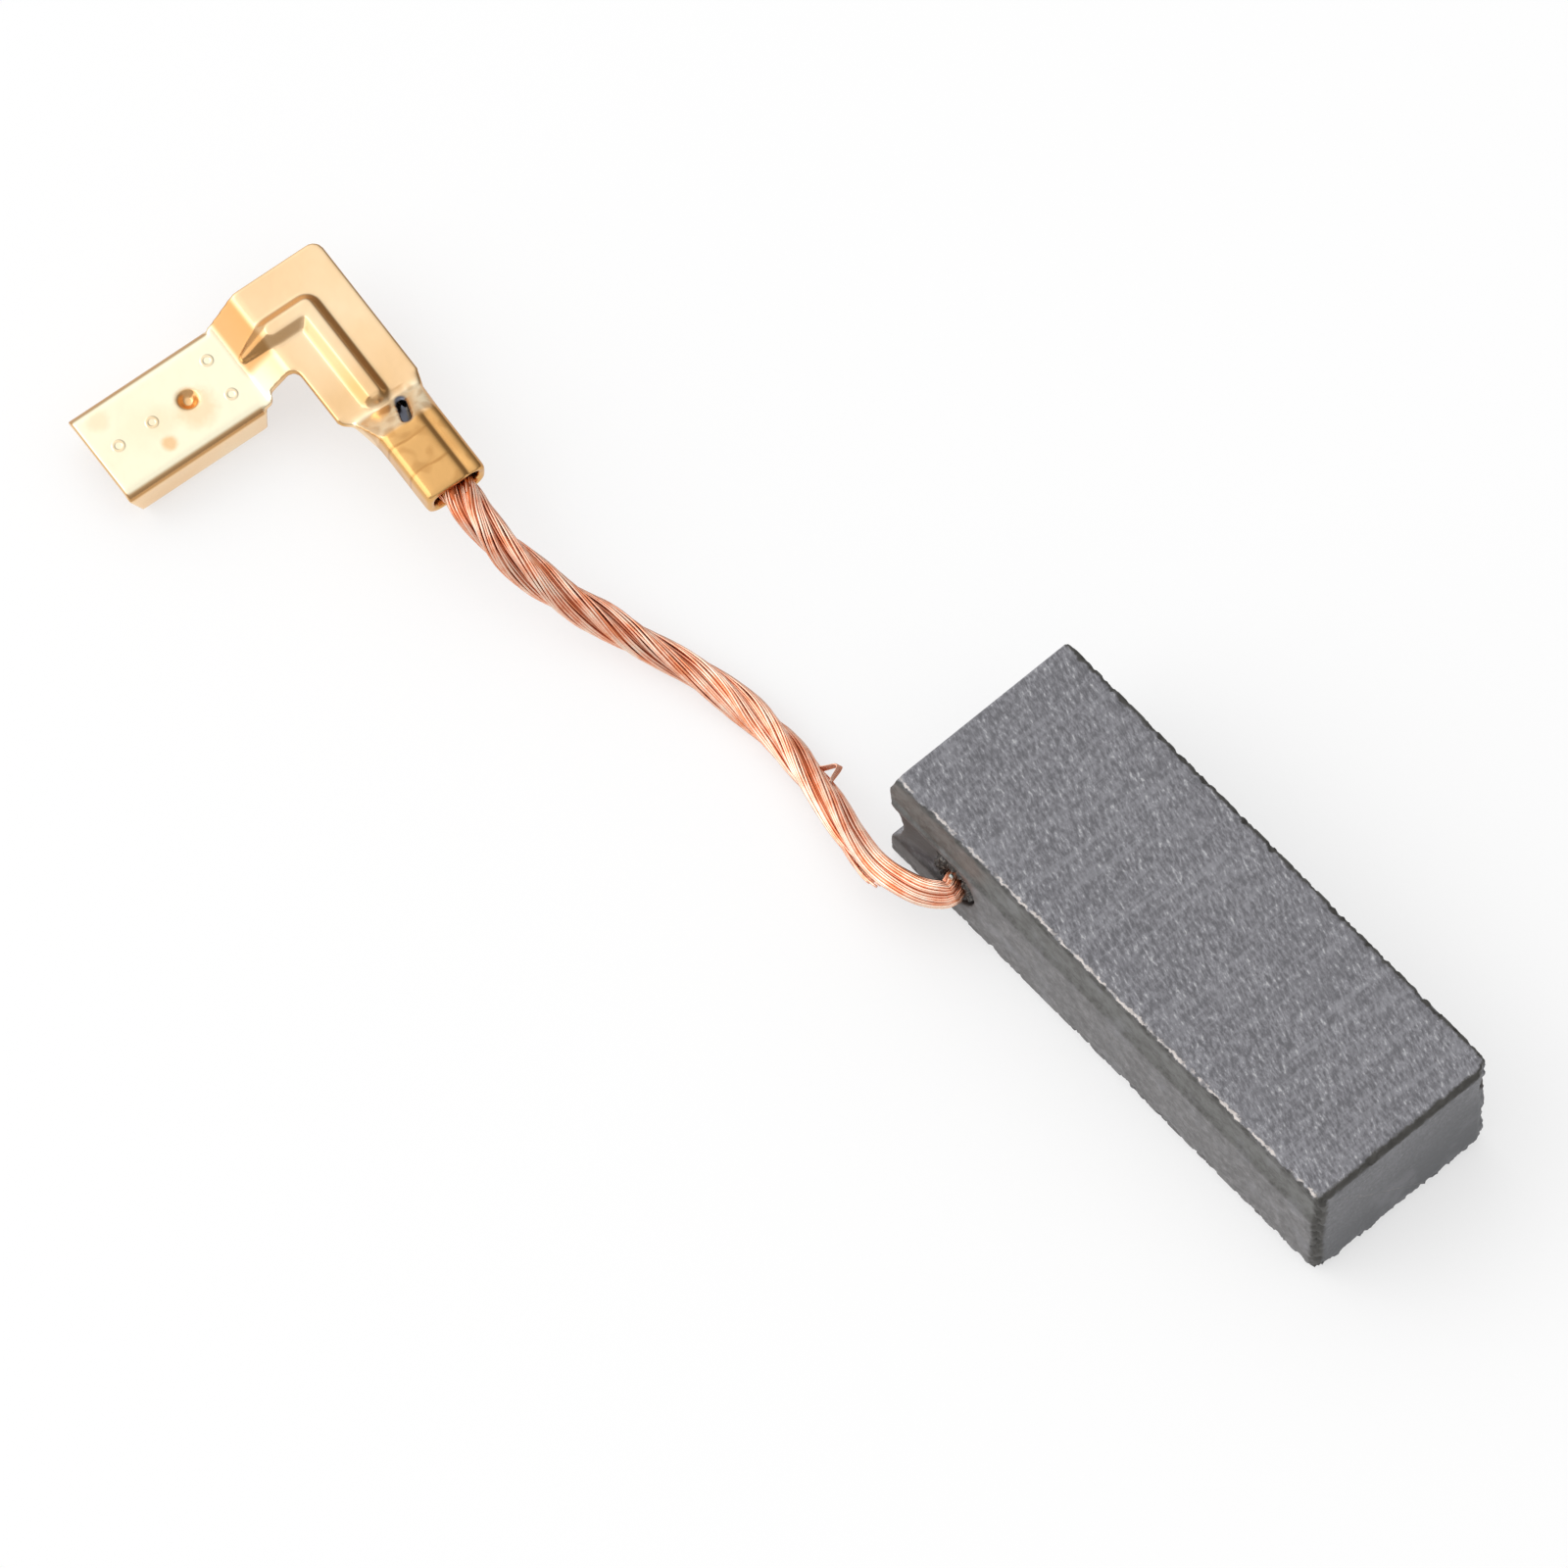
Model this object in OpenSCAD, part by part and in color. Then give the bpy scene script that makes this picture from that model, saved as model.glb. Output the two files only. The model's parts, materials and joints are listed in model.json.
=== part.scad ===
// Carbon brush for a small power-tool motor: a pressed carbon block, a stranded
// copper pigtail tamped into its side, and a stamped brass flag receptacle.
// Millimetres. The origin is the centre of the block's bottom face, +X points to
// the contact end, +Z points up, and the whole brush lies on the plane Z = 0.

/* [Carbon block] */
// Length, from the spring end to the contact end
block_l = 24; // [18:0.1:32]
// Width, across the wide faces
block_w = 8.9; // [7:0.1:12]
// Thickness
block_t = 6.3; // [5.6:0.1:9]
// Bevel along the edges of the ground top face
top_bevel = 0.12; // [0.05:0.01:0.3]
// Rounding of the pressed edges along the bottom
bottom_round = 0.65; // [0.2:0.05:0.9]
// Rounding of the upright edges at the contact end, on the far side
far_corner = 0.7; // [0.2:0.05:1]
// Bevel of the upright edges elsewhere
side_bevel = 0.3; // [0.1:0.05:0.5]
// How deep below the top face the press line runs along the wire side
press_line = 2.05; // [1.9:0.05:2.2]
// How far the band below the press line stands proud
press_step = 0.12; // [0.05:0.01:0.3]

/* [Spring seat] */
// Radius of the round groove across the spring end
groove_r = 2; // [1.5:0.05:2.4]
// Depth of that groove
groove_depth = 0.6; // [0.4:0.05:1.3]
// Height of the crest above the groove, where the spring end stands out furthest
crest_z = 4.6; // [4.2:0.1:5.2]
// How far the spring end leans in, from that crest up to the top face
end_lean = 0.15; // [0.05:0.05:0.4]

/* [Wire hole] */
// Radius of the tamped hole
hole_r = 1.0; // [0.85:0.05:1.3]
// Depth of the hole, below the floor of the wire's channel
hole_depth = 4; // [3:0.1:5]
// Distance of the hole from the spring end
hole_from_end = 3.5; // [3:0.1:5]
// Height of the hole and of the groove above the bottom face
hole_z = 2.85; // [2.6:0.05:3.4]
// Width of the channel that the wire lies back in
channel_w = 2.4; // [2.1:0.1:2.8]
// Depth of the channel at the hole; it runs out towards the spring end
channel_depth = 0.6; // [0.4:0.05:1.5]
// Where the channel starts, from the spring end
channel_start = 0.1; // [0.1:0.1:2]

/* [Pigtail] */
// Diameter of the stranded copper rope
rope_d = 1.45; // [1:0.05:1.6]
// Width of the rope where the barrel has pressed it flat
pressed_w = 1.75; // [1.2:0.05:1.8]
// Height of the rope in the barrel
pressed_h = 0.9; // [0.6:0.05:0.95]
// Clearance between the rope and what holds it
hold_gap = 0.01; // [0.005:0.005:0.03]

/* [Terminal] */
// Thickness of the brass sheet
sheet_t = 0.35; // [0.25:0.05:0.4]
// Width of the receptacle, over its two curls
box_w = 4.15; // [3.8:0.05:5]
// Length of the receptacle
box_l = 6.4; // [5.5:0.1:8]
// Height of the receptacle
box_h = 2.2; // [2:0.05:2.5]
// Thickness of the tab that slides under the plate
tab_t = 0.5; // [0.4:0.05:0.6]
// Outer radius of the curls
curl_r = 0.64; // [0.5:0.02:0.66]
// Outer radius of the fold between the plate and its side walls
fold_r = 0.45; // [0.4:0.05:0.6]
// How far the curls are cut back at the mouth, at their lowest
lead_in = 0.75; // [0.4:0.05:1.2]
// How far the arm steps up above the receptacle's plate
rise = 0.9; // [0.5:0.05:1.2]
// Slope of that step, in degrees
slope = 38; // [25:1:45]
// How far the step is narrower than the plate, on the leg's side
waist_in = 0.5; // [0.4:0.05:0.9]
// How far the leg's edge stands back before the end of the step
leg_back = 0.0; // [-0.2:0.05:0.3]
// Width of the arm that carries on from the receptacle
arm_w = 4.3; // [3.6:0.1:4.6]
// Width of the leg that turns towards the rope
leg_w = 3.75; // [3.4:0.05:4.4]
// Length of the leg, beyond the receptacle's side, up to the neck
leg_l = 2.4; // [1.5:0.1:4]
// Width of the stiffening bead, at its foot
bead_w = 1.25; // [1:0.05:1.4]
// Width of the bead's flat top
bead_top = 0.5; // [0.3:0.05:0.7]
// Height of the bead above the sheet
bead_h = 0.4; // [0.2:0.05:0.45]
// Length of the neck between the leg and the barrel
neck_l = 1.8; // [1.2:0.1:2.5]
// Width of the neck where it leaves the leg
neck_w = 3.1; // [2.8:0.1:3.4]
// Width of the slot that the folded wings leave open in the neck
slot_w = 0.3; // [0.2:0.05:0.5]
// Length of the crimp barrel
barrel_l = 3.2; // [2.5:0.1:4.5]
// Width of the crimp barrel
barrel_w = 2.7; // [2.5:0.05:3]
// Height of the crimp barrel
barrel_h = 1.65; // [1.65:0.05:2]
// How far the barrel sits below the underside of the leg
barrel_drop = 0.2; // [0:0.05:0.4]
// Depth of the two lines that the crimping tool leaves across the barrel
mark_depth = 0.08; // [0.04:0.01:0.12]
// Radius of the dent that latches in the tab's hole
dent_r = 0.45; // [0.3:0.05:0.6]
// Distance of the dent from the mouth
dent_at = 4.2; // [3:0.1:5]

/* [Lie of the terminal] */
// Turn about the upright axis, in degrees
lie_turn = -6; // [-12:1:0]
// Lift of the leg's side, in degrees
lie_lift = 2.5; // [0:0.5:4]
// Droop towards the rope, in degrees
lie_droop = 2.5; // [0:0.5:4]

/* [Hidden] */
$fn = 40;
eps = 0.01;
// How far a cutter runs past the face that it enters
past = 1;

// Where the terminal's nearest mouth corner stands on the ground
terminal_at = [-41.57, -16.6, -0.08];

wire_side = -block_w / 2;
spring_end = -block_l / 2;
hole_x = spring_end + hole_from_end;
channel_floor = wire_side + channel_depth;
hole_end = channel_floor + hole_depth;
root_end = hole_end - 1;

arm_top = box_h + rise;
step_start = box_l + 0.1;
bend_in = 0.4;
bend_out = bend_in + sheet_t;
// Run of the sloping stretch between the two bends of the step
step_run = (rise - (bend_in + bend_out) * (1 - cos(slope))) / tan(slope);
step_end = step_start + (bend_in + bend_out) * sin(slope) + step_run;
leg_near = step_end - leg_back;
leg_far = leg_near + leg_w;
neck_x = leg_l;
barrel_x = neck_x + neck_l;
barrel_v = leg_near + leg_w / 2 + 0.1;
barrel_floor = arm_top - sheet_t - barrel_drop;
rope_in_barrel = barrel_floor + barrel_h / 2;
// Where the two wings meet, from the middle of the barrel
seam_v = 0.5;
// Cross-section of the bead: its feet lie in the sheet
bead_section = [
    [-bead_w / 2, -sheet_t / 2], [bead_w / 2, -sheet_t / 2], [bead_w / 2, 0],
    [bead_top / 2, bead_h], [-bead_top / 2, bead_h], [-bead_w / 2, 0]
];

// The rope's route, from the bottom of the hole to the inner end of the barrel
route = [
    [-8.5, -0.85, 2.85], [-8.5, -2.4, 2.85], [-8.5, -3.7, 2.85], [-8.44, -4.3, 2.81],
    [-8.24, -4.8, 2.7], [-8.85, -5.4, 2.6], [-9.8, -5.75, 2.5], [-11.1, -5.9, 2.25],
    [-12.7, -5.65, 1.8], [-14.5, -5.2, 1.4], [-16.1, -4.9, 1.1], [-17.6, -4.7, 0.9],
    [-19, -4.7, 0.8], [-20.5, -4.8, 0.8], [-22.2, -5.15, 0.85], [-24, -5.75, 1.05],
    [-25.6, -6.35, 1.4], [-27.2, -6.95, 1.85], [-28.8, -7.4, 2.35], [-30.3, -7.7, 2.8],
    [-31.7, -7.75, 3.2]
];

// ---- outlines -------------------------------------------------------------

function unit(v) = v / norm(v);

function flat(p) = [p[0], p[1]];

// Points of the arc that rounds corner p, between its neighbours a and b
function corner(a, p, b, r, steps) =
    let (
        to_a = unit(flat(a) - flat(p)),
        to_b = unit(flat(b) - flat(p)),
        half = acos(to_a * to_b) / 2,
        centre = flat(p) + unit(to_a + to_b) * r / sin(half),
        first = flat(p) + to_a * r / tan(half) - centre,
        last = flat(p) + to_b * r / tan(half) - centre,
        start = atan2(first[1], first[0]),
        turn = atan2(last[1], last[0]) - start,
        sweep = turn > 180 ? turn - 360 : turn < -180 ? turn + 360 : turn
    )
    [for (i = [0:steps]) centre + r * [cos(start + sweep * i / steps), sin(start + sweep * i / steps)]];

// An outline whose points are [x, y, radius of the corner]
function rounded(points, steps = 5) = [
    for (i = [0:len(points) - 1])
        let (n = len(points), p = points[i], a = points[(i + n - 1) % n], b = points[(i + 1) % n])
        each (p[2] > 0 ? corner(a, p, b, p[2], steps) : [flat(p)])
];

function arc(cx, cy, r, from, to, steps = 5) = [
    for (i = [0:steps]) [cx + r * cos(from + (to - from) * i / steps), cy + r * sin(from + (to - from) * i / steps)]
];

// ---- carbon block ---------------------------------------------------------

// Seen from the contact end: Y across, Z up
function end_outline() =
    let (near = wire_side, far = block_w / 2, line_z = block_t - press_line)
    rounded([
        [near, 0, bottom_round], [far, 0, bottom_round],
        [far, block_t - top_bevel, 0], [far - top_bevel, block_t, 0],
        [near + press_step + top_bevel, block_t, 0], [near + press_step, block_t - top_bevel, 0],
        [near + press_step, line_z + press_step, 0], [near, line_z, 0]
    ]);

// Seen from the wire side: X along, Z up
function side_outline() =
    let (back = spring_end, front = block_l / 2)
    rounded([
        [back, 0, side_bevel], [front, 0, bottom_round],
        [front, block_t - top_bevel, 0], [front - top_bevel, block_t, 0],
        [back + end_lean, block_t, top_bevel], [back, crest_z, side_bevel]
    ]);

// Seen from above
function plan_outline() =
    let (back = spring_end, front = block_l / 2, near = wire_side, far = block_w / 2)
    rounded([
        [back, near, side_bevel / 2],
        [front - side_bevel, near, 0], [front, near + side_bevel, 0],
        [front, far, far_corner], [back, far, side_bevel]
    ]);

module pressed_body() {
    intersection() {
        linear_extrude(block_t) polygon(plan_outline());
        translate([0, block_w / 2, 0]) rotate([90, 0, 0]) linear_extrude(block_w) polygon(side_outline());
        translate([-block_l / 2, 0, 0]) rotate([90, 0, 90]) linear_extrude(block_l) polygon(end_outline());
    }
}

// Ramp that a round cutter leaves from the spring end to the hole, so the rope can lie back
module wire_channel() {
    reach = channel_w / 2;
    cut = channel_depth + past;
    intersection() {
        translate([hole_x, wire_side - past, hole_z])
            rotate([-90, 0, 0]) {
                cylinder(r = reach, h = cut);
                translate([-hole_from_end - past, -reach, 0]) cube([hole_from_end + past, channel_w, cut]);
            }
        linear_extrude(block_t)
            polygon([
                [spring_end + channel_start, wire_side],
                [hole_x, channel_floor],
                [hole_x + reach, channel_floor],
                [hole_x + reach, wire_side - past],
                [spring_end + channel_start, wire_side - past]
            ]);
    }
}

module wire_hole() {
    translate([hole_x, wire_side - past, hole_z])
        rotate([-90, 0, 0])
            cylinder(r = hole_r, h = hole_end - wire_side + past);
}

module carbon_block() {
    color([0.42, 0.42, 0.44])
        difference() {
            pressed_body();
            translate([spring_end + groove_depth - groove_r, 0, hole_z])
                rotate([90, 0, 0])
                    cylinder(r = groove_r, h = 2 * block_w, center = true);
            wire_channel();
            wire_hole();
        }
}

// Copper powder rammed round the rope's end
module tamping_plug() {
    plug_l = hole_depth - 0.15;
    color([0.35, 0.3, 0.27])
        difference() {
            translate([hole_x, hole_end - plug_l, hole_z])
                rotate([-90, 0, 0])
                    cylinder(r = hole_r - hold_gap, h = plug_l - hold_gap);
            translate([hole_x, channel_floor - eps, hole_z])
                rotate([-90, 0, 0])
                    cylinder(r = rope_d / 2 + hold_gap, h = root_end - channel_floor + 2 * eps);
        }
}

// ---- pigtail --------------------------------------------------------------

// A point given in the terminal's own directions, set where the terminal lies
function turned(p) =
    let (
        c1 = cos(lie_lift), s1 = sin(lie_lift),
        c2 = cos(lie_droop), s2 = sin(lie_droop),
        c3 = cos(lie_turn), s3 = sin(lie_turn),
        a = [p[0], c1 * p[1] - s1 * p[2], s1 * p[1] + c1 * p[2]],
        b = [c2 * a[0] + s2 * a[2], a[1], c2 * a[2] - s2 * a[0]]
    )
    terminal_at + [c3 * b[0] - s3 * b[1], s3 * b[0] + c3 * b[1], b[2]];

// Rings of the rope: [centre, half width, half height]
rope_rings = concat(
    [for (p = route) [p, rope_d / 2, rope_d / 2]],
    [
        [turned([barrel_x + barrel_l, barrel_v, rope_in_barrel]), pressed_w / 2, pressed_h / 2],
        [turned([barrel_x + barrel_l / 2, barrel_v, rope_in_barrel]), pressed_w / 2, pressed_h / 2],
        [turned([barrel_x, barrel_v, rope_in_barrel]), pressed_w / 2, pressed_h / 2]
    ]
);

module swept(rings, sides) {
    count = len(rings);
    function heading(i) = unit(rings[min(i + 1, count - 1)][0] - rings[max(i - 1, 0)][0]);
    function ring(i) =
        let (t = heading(i), side = unit(cross(t, [0, 0, 1])), down = cross(t, side))
        [for (k = [0:sides - 1])
            rings[i][0]
                + side * rings[i][1] * cos(360 * k / sides)
                + down * rings[i][2] * sin(360 * k / sides)];
    polyhedron(
        points = [for (i = [0:count - 1]) each ring(i)],
        faces = concat(
            [[for (k = [0:sides - 1]) k]],
            [for (i = [0:count - 2], k = [0:sides - 1])
                [i * sides + k, (i + 1) * sides + k, (i + 1) * sides + (k + 1) % sides, i * sides + (k + 1) % sides]],
            [[for (k = [sides - 1:-1:0]) (count - 1) * sides + k]]
        )
    );
}

module pigtail() {
    color([0.8, 0.47, 0.33]) swept(rope_rings, 8);
}

// ---- flag terminal --------------------------------------------------------
// In its own directions: X along the leg to the rope, Y from the mouth to the
// leg, Z up. The receptacle spans X from -box_w to 0 and Y from 0 to box_l.

module ring_part(r, at, quadrants) {
    translate(at)
        intersection() {
            difference() {
                circle(r);
                circle(r - sheet_t);
            }
            for (q = quadrants) rotate(q * 90) square(r);
        }
}

// One side wall with its curl, at X = 0
module curl_section() {
    ring_part(fold_r, [-fold_r, box_h - fold_r], [0]);
    translate([-sheet_t, curl_r]) square([sheet_t, box_h - fold_r - curl_r]);
    ring_part(curl_r, [-curl_r, curl_r], [2, 3]);
    lip_top = box_h - sheet_t - tab_t - 0.05;
    translate([-2 * curl_r, curl_r]) square([sheet_t, lip_top - curl_r]);
}

// Seen along X: Y from the mouth, Z up; the curls lie back at the mouth
function curl_side() = rounded([
    [0, box_h, 0], [0, box_h - sheet_t, 0], [lead_in, 0, curl_r],
    [box_l, 0, curl_r * 0.8], [box_l, box_h, 0]
]);

module receptacle() {
    intersection() {
        translate([0, box_l, 0])
            rotate([90, 0, 0])
                linear_extrude(box_l) {
                    curl_section();
                    translate([-box_w, 0]) mirror([1, 0]) curl_section();
                    translate([fold_r - box_w, box_h - sheet_t]) square([box_w - 2 * fold_r, sheet_t]);
                }
        translate([-box_w - 1, 0, 0])
            rotate([90, 0, 90])
                linear_extrude(box_w + 2)
                    polygon(curl_side());
    }
}

// Side view of the sheet from the receptacle over the step to the arm
function step_outline() =
    let (
        low = [step_start, box_h + bend_in],
        high = [step_end, arm_top - bend_out],
        back = box_l - 0.5,
        front = leg_far + 1
    )
    concat(
        [[back, box_h]],
        arc(low[0], low[1], bend_in, -90, slope - 90),
        arc(high[0], high[1], bend_out, 90 + slope, 90),
        [[front, arm_top], [front, arm_top - sheet_t]],
        arc(high[0], high[1], bend_in, 90, 90 + slope),
        arc(low[0], low[1], bend_out, slope - 90, -90),
        [[back, box_h - sheet_t]]
    );

// The blank seen from above, with the corner that the leg turns
function blank_outline() =
    let (
        arm_out = -arm_w - 0.07,
        near = barrel_v - neck_w / 2,
        far = barrel_v + neck_w / 2,
        overlap = box_l - 0.5,
        corner_end = step_start + 0.3
    )
    rounded([
        [-box_w + fold_r, overlap, 0], [-box_w + fold_r, box_l, 0],
        [-box_w + 0.1, box_l, 0], [-box_w + 0.03, box_l + 0.1, 0],
        [arm_out, step_end - 0.1, 0.5], [arm_out, leg_far, 0.45],
        [neck_x - 0.1, leg_far, 0.35], [neck_x + 0.6, far, 0.2],
        [neck_x + 0.6, near, 0], [neck_x + 0.4, near, 0.1],
        [neck_x + 0.05, leg_near, 0.3],
        [-waist_in, leg_near, 0.4], [-waist_in, corner_end + 0.1, 0.1],
        [-0.12, corner_end, 0.3], [-0.12, box_l, 0], [-fold_r, box_l, 0], [-fold_r, overlap, 0]
    ]);

module formed_sheet() {
    intersection() {
        linear_extrude(2 * arm_top) polygon(blank_outline());
        translate([-2 * arm_w, 0, 0])
            rotate([90, 0, 90])
                linear_extrude(4 * arm_w)
                    polygon(step_outline());
    }
}

// One straight, level run of the pressed bead, from one foot point to another
module bead_run(from, to) {
    run = to - from;
    translate(from)
        rotate([0, 0, atan2(run[1], run[0])])
            rotate([90, 0, 90])
                linear_extrude(norm(run))
                    polygon(bead_section);
}

module bead_end(at) {
    translate(at - [0, 0, eps]) cylinder(r1 = bead_w / 2, r2 = bead_top / 2, h = bead_h + eps);
}

// The pressed bead: a tip on the foot of the step, a run along the arm and one along the leg
module bead() {
    line = -arm_w / 2 - 0.05;
    turn_v = leg_near + leg_w / 2 - 0.15;
    hull() {
        translate([line, step_start + 0.4, box_h - 0.05]) cylinder(r1 = bead_top / 2, r2 = bead_top / 3, h = 0.3);
        bead_end([line, step_end + 0.1, arm_top]);
    }
    bead_run([line, step_end + 0.1, arm_top], [line, turn_v, arm_top]);
    bead_end([line, turn_v, arm_top]);
    bead_run([line, turn_v, arm_top], [neck_x - 0.2, turn_v, arm_top]);
    bead_end([neck_x - 0.2, turn_v, arm_top]);
}

// Latch dent, pressed down through the plate
module dent(r, depth, from) {
    translate([-box_w / 2 - 0.05, dent_at, from - depth])
        cylinder(r1 = r * 0.4, r2 = r, h = depth + eps);
}

// Outline of the closed barrel: Y across, Z up; the two wings meet in a valley
function barrel_outline(w, h) = rounded([
    [-w / 2, 0, 0.55], [w / 2, 0, 0.6], [w / 2, h - 0.1, 0.45], [seam_v + 0.22, h - 0.1, 0.18],
    [seam_v + 0.1, h - 0.28, 0], [seam_v - 0.04, h, 0.12], [-w / 2, h, 0.3]
], 4);

function barrel_bore(w, h, t) = rounded([
    [t - w / 2, t, 0.3], [w / 2 - t, t, 0.3], [w / 2 - t, h - t, 0.2], [t - w / 2, h - t, 0.2]
], 3);

// Line that the crimping tool leaves across the wing's flat top
module tool_mark(x) {
    side = mark_depth * sqrt(2);
    translate([x, barrel_v - barrel_w / 2 + 0.15, barrel_floor + barrel_h])
        rotate([0, 45, 0])
            translate([-side / 2, 0, -side / 2])
                cube([side, 1, side]);
}

module crimp_barrel() {
    difference() {
        translate([barrel_x, barrel_v, barrel_floor])
            rotate([90, 0, 90])
                linear_extrude(barrel_l)
                    difference() {
                        polygon(barrel_outline(barrel_w, barrel_h));
                        polygon(barrel_bore(barrel_w, barrel_h, sheet_t));
                        translate([seam_v + 0.05, barrel_h / 2]) square([0.1, barrel_h]);
                    }
        tool_mark(barrel_x + 0.6);
        tool_mark(barrel_x + 1.92);
    }
}

// Slice of the neck or the barrel at a station along X, for the neck's loft
module slice(x, z, outline) {
    translate([x, barrel_v, z]) rotate([90, 0, 90]) linear_extrude(eps) polygon(outline);
}

// The neck rises from the flat leg into the barrel, with its two wings folded in
module neck() {
    start = neck_x + 0.35;
    hollow = start + (barrel_x - start) * 0.35;
    leaf = neck_w / 2;
    slot_from = [neck_x + 0.6, barrel_v + 0.43];
    slot_run = [barrel_x + 0.05, barrel_v - 0.08] - slot_from;
    difference() {
        hull() {
            slice(start, arm_top - sheet_t, [[-leaf, 0], [leaf, 0], [leaf, sheet_t], [-leaf, sheet_t]]);
            slice(barrel_x, barrel_floor, barrel_outline(barrel_w, barrel_h));
        }
        hull() {
            slice(hollow, arm_top - sheet_t + 0.17, [[-0.8, 0], [0.8, 0], [0.8, 0.1], [-0.8, 0.1]]);
            slice(barrel_x + eps, barrel_floor, barrel_bore(barrel_w, barrel_h, sheet_t));
        }
        translate([slot_from[0], slot_from[1], barrel_floor + sheet_t])
            rotate([0, 0, atan2(slot_run[1], slot_run[0])])
                linear_extrude(2 * barrel_h)
                    polygon(rounded([
                        [0, -slot_w / 2, slot_w * 0.45], [norm(slot_run), -slot_w / 2, slot_w * 0.45],
                        [norm(slot_run), slot_w / 2, slot_w * 0.45], [0, slot_w / 2, slot_w * 0.45]
                    ], 3));
    }
}

module flag_terminal() {
    color([0.93, 0.76, 0.47])
        translate(terminal_at)
            rotate([0, 0, lie_turn]) rotate([0, lie_droop, 0]) rotate([lie_lift, 0, 0])
                difference() {
                    union() {
                        receptacle();
                        formed_sheet();
                        bead();
                        dent(dent_r + 0.15, 0.25, box_h - sheet_t + eps);
                        neck();
                        crimp_barrel();
                    }
                    dent(dent_r, 0.3, box_h);
                }
}

carbon_block();
tamping_plug();
pigtail();
flag_terminal();
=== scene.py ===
"""Dresses a carbon motor brush: a pressed carbon block, a copper pigtail and a brass flag receptacle.

Meshes are in metres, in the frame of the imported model: the origin is the middle of the block's
underside, +X points to the contact end and +Z points up. The pieces' sizes are in millimetres.
"""

from __future__ import annotations

import json
import logging
import math
from dataclasses import dataclass, field
from enum import Enum

import bmesh
import bpy
from mathutils import Matrix, Vector, noise


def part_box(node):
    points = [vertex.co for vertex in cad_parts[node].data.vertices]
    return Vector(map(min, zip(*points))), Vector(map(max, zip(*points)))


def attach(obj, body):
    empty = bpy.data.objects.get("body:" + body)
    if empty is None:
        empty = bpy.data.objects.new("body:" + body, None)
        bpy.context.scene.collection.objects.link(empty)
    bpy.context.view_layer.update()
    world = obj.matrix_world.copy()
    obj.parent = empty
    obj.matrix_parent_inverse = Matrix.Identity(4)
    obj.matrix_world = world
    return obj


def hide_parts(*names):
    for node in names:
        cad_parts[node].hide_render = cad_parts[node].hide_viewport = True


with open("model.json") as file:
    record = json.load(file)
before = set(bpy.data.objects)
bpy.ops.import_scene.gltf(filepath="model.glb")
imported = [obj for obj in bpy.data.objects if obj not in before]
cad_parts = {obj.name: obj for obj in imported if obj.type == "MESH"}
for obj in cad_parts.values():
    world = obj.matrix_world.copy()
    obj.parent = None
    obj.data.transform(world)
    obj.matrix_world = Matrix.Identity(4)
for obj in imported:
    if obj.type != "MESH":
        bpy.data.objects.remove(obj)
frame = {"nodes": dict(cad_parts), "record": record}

LOG = logging.getLogger("carbon_brush")
MM = 0.001
BODY = "root"

Colour = tuple[float, float, float]
Point = tuple[float, float, float]
Range = tuple[float, float]
Shape = bmesh.types.BMesh
Frames = list[tuple[Vector, Vector, Vector]]
Socket = bpy.types.NodeSocket
Sockets = dict[int | str, Socket | float | tuple | Vector]


class Slot(Enum):
    """The record's material slots."""

    CARBON = "carbon"
    TAMPING = "tamping"
    COPPER = "copper"
    BRASS = "brass"


class Face(Enum):
    """A flat side of the block, by its outward direction."""

    CONTACT = (1, 0, 0)
    WIRE = (0, -1, 0)
    FAR = (0, 1, 0)
    TOP = (0, 0, 1)
    BOTTOM = (0, 0, -1)


# ---- helpers -----------------------------------------------------------------


def mm(*values: float) -> Vector:
    """Return a point given in millimetres, in metres."""
    return Vector(values) * MM


def new_object(name: str, mesh: bpy.types.Mesh) -> bpy.types.Object:
    """Link a mesh to the scene as an object at the origin.

    Args:
        name: the piece's name.
        mesh: its finished mesh, with its place in it.

    Returns:
        The new object.
    """
    piece = bpy.data.objects.new(name, mesh)
    bpy.context.scene.collection.objects.link(piece)
    return piece


def mesh_of(name: str, shape: Shape) -> bpy.types.Mesh:
    """Turn a bmesh into a mesh and free it.

    Args:
        name: the mesh's name.
        shape: the bmesh, which is gone afterwards.

    Returns:
        The new mesh.
    """
    mesh = bpy.data.meshes.new(name)
    shape.to_mesh(mesh)
    shape.free()
    return mesh


def shade_smooth(mesh: bpy.types.Mesh) -> None:
    """Shade every face of a mesh softly, with normals blended across its corners."""
    mesh.polygons.foreach_set("use_smooth", [True] * len(mesh.polygons))
    mesh.update()


def applied(piece: bpy.types.Object) -> bpy.types.Mesh:
    """Return the mesh that a piece's modifiers make, as a mesh of its own."""
    graph = bpy.context.evaluated_depsgraph_get()
    return bpy.data.meshes.new_from_object(piece.evaluated_get(graph))


def merged_copy(node: str) -> Shape:
    """Return a CAD node's mesh with its loose triangles joined.

    Args:
        node: the node's name.

    Returns:
        A bmesh in metres.
    """
    shape = bmesh.new()
    shape.from_mesh(frame["nodes"][node].data)
    bmesh.ops.remove_doubles(shape, verts=shape.verts, dist=1e-6)
    return shape


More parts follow.
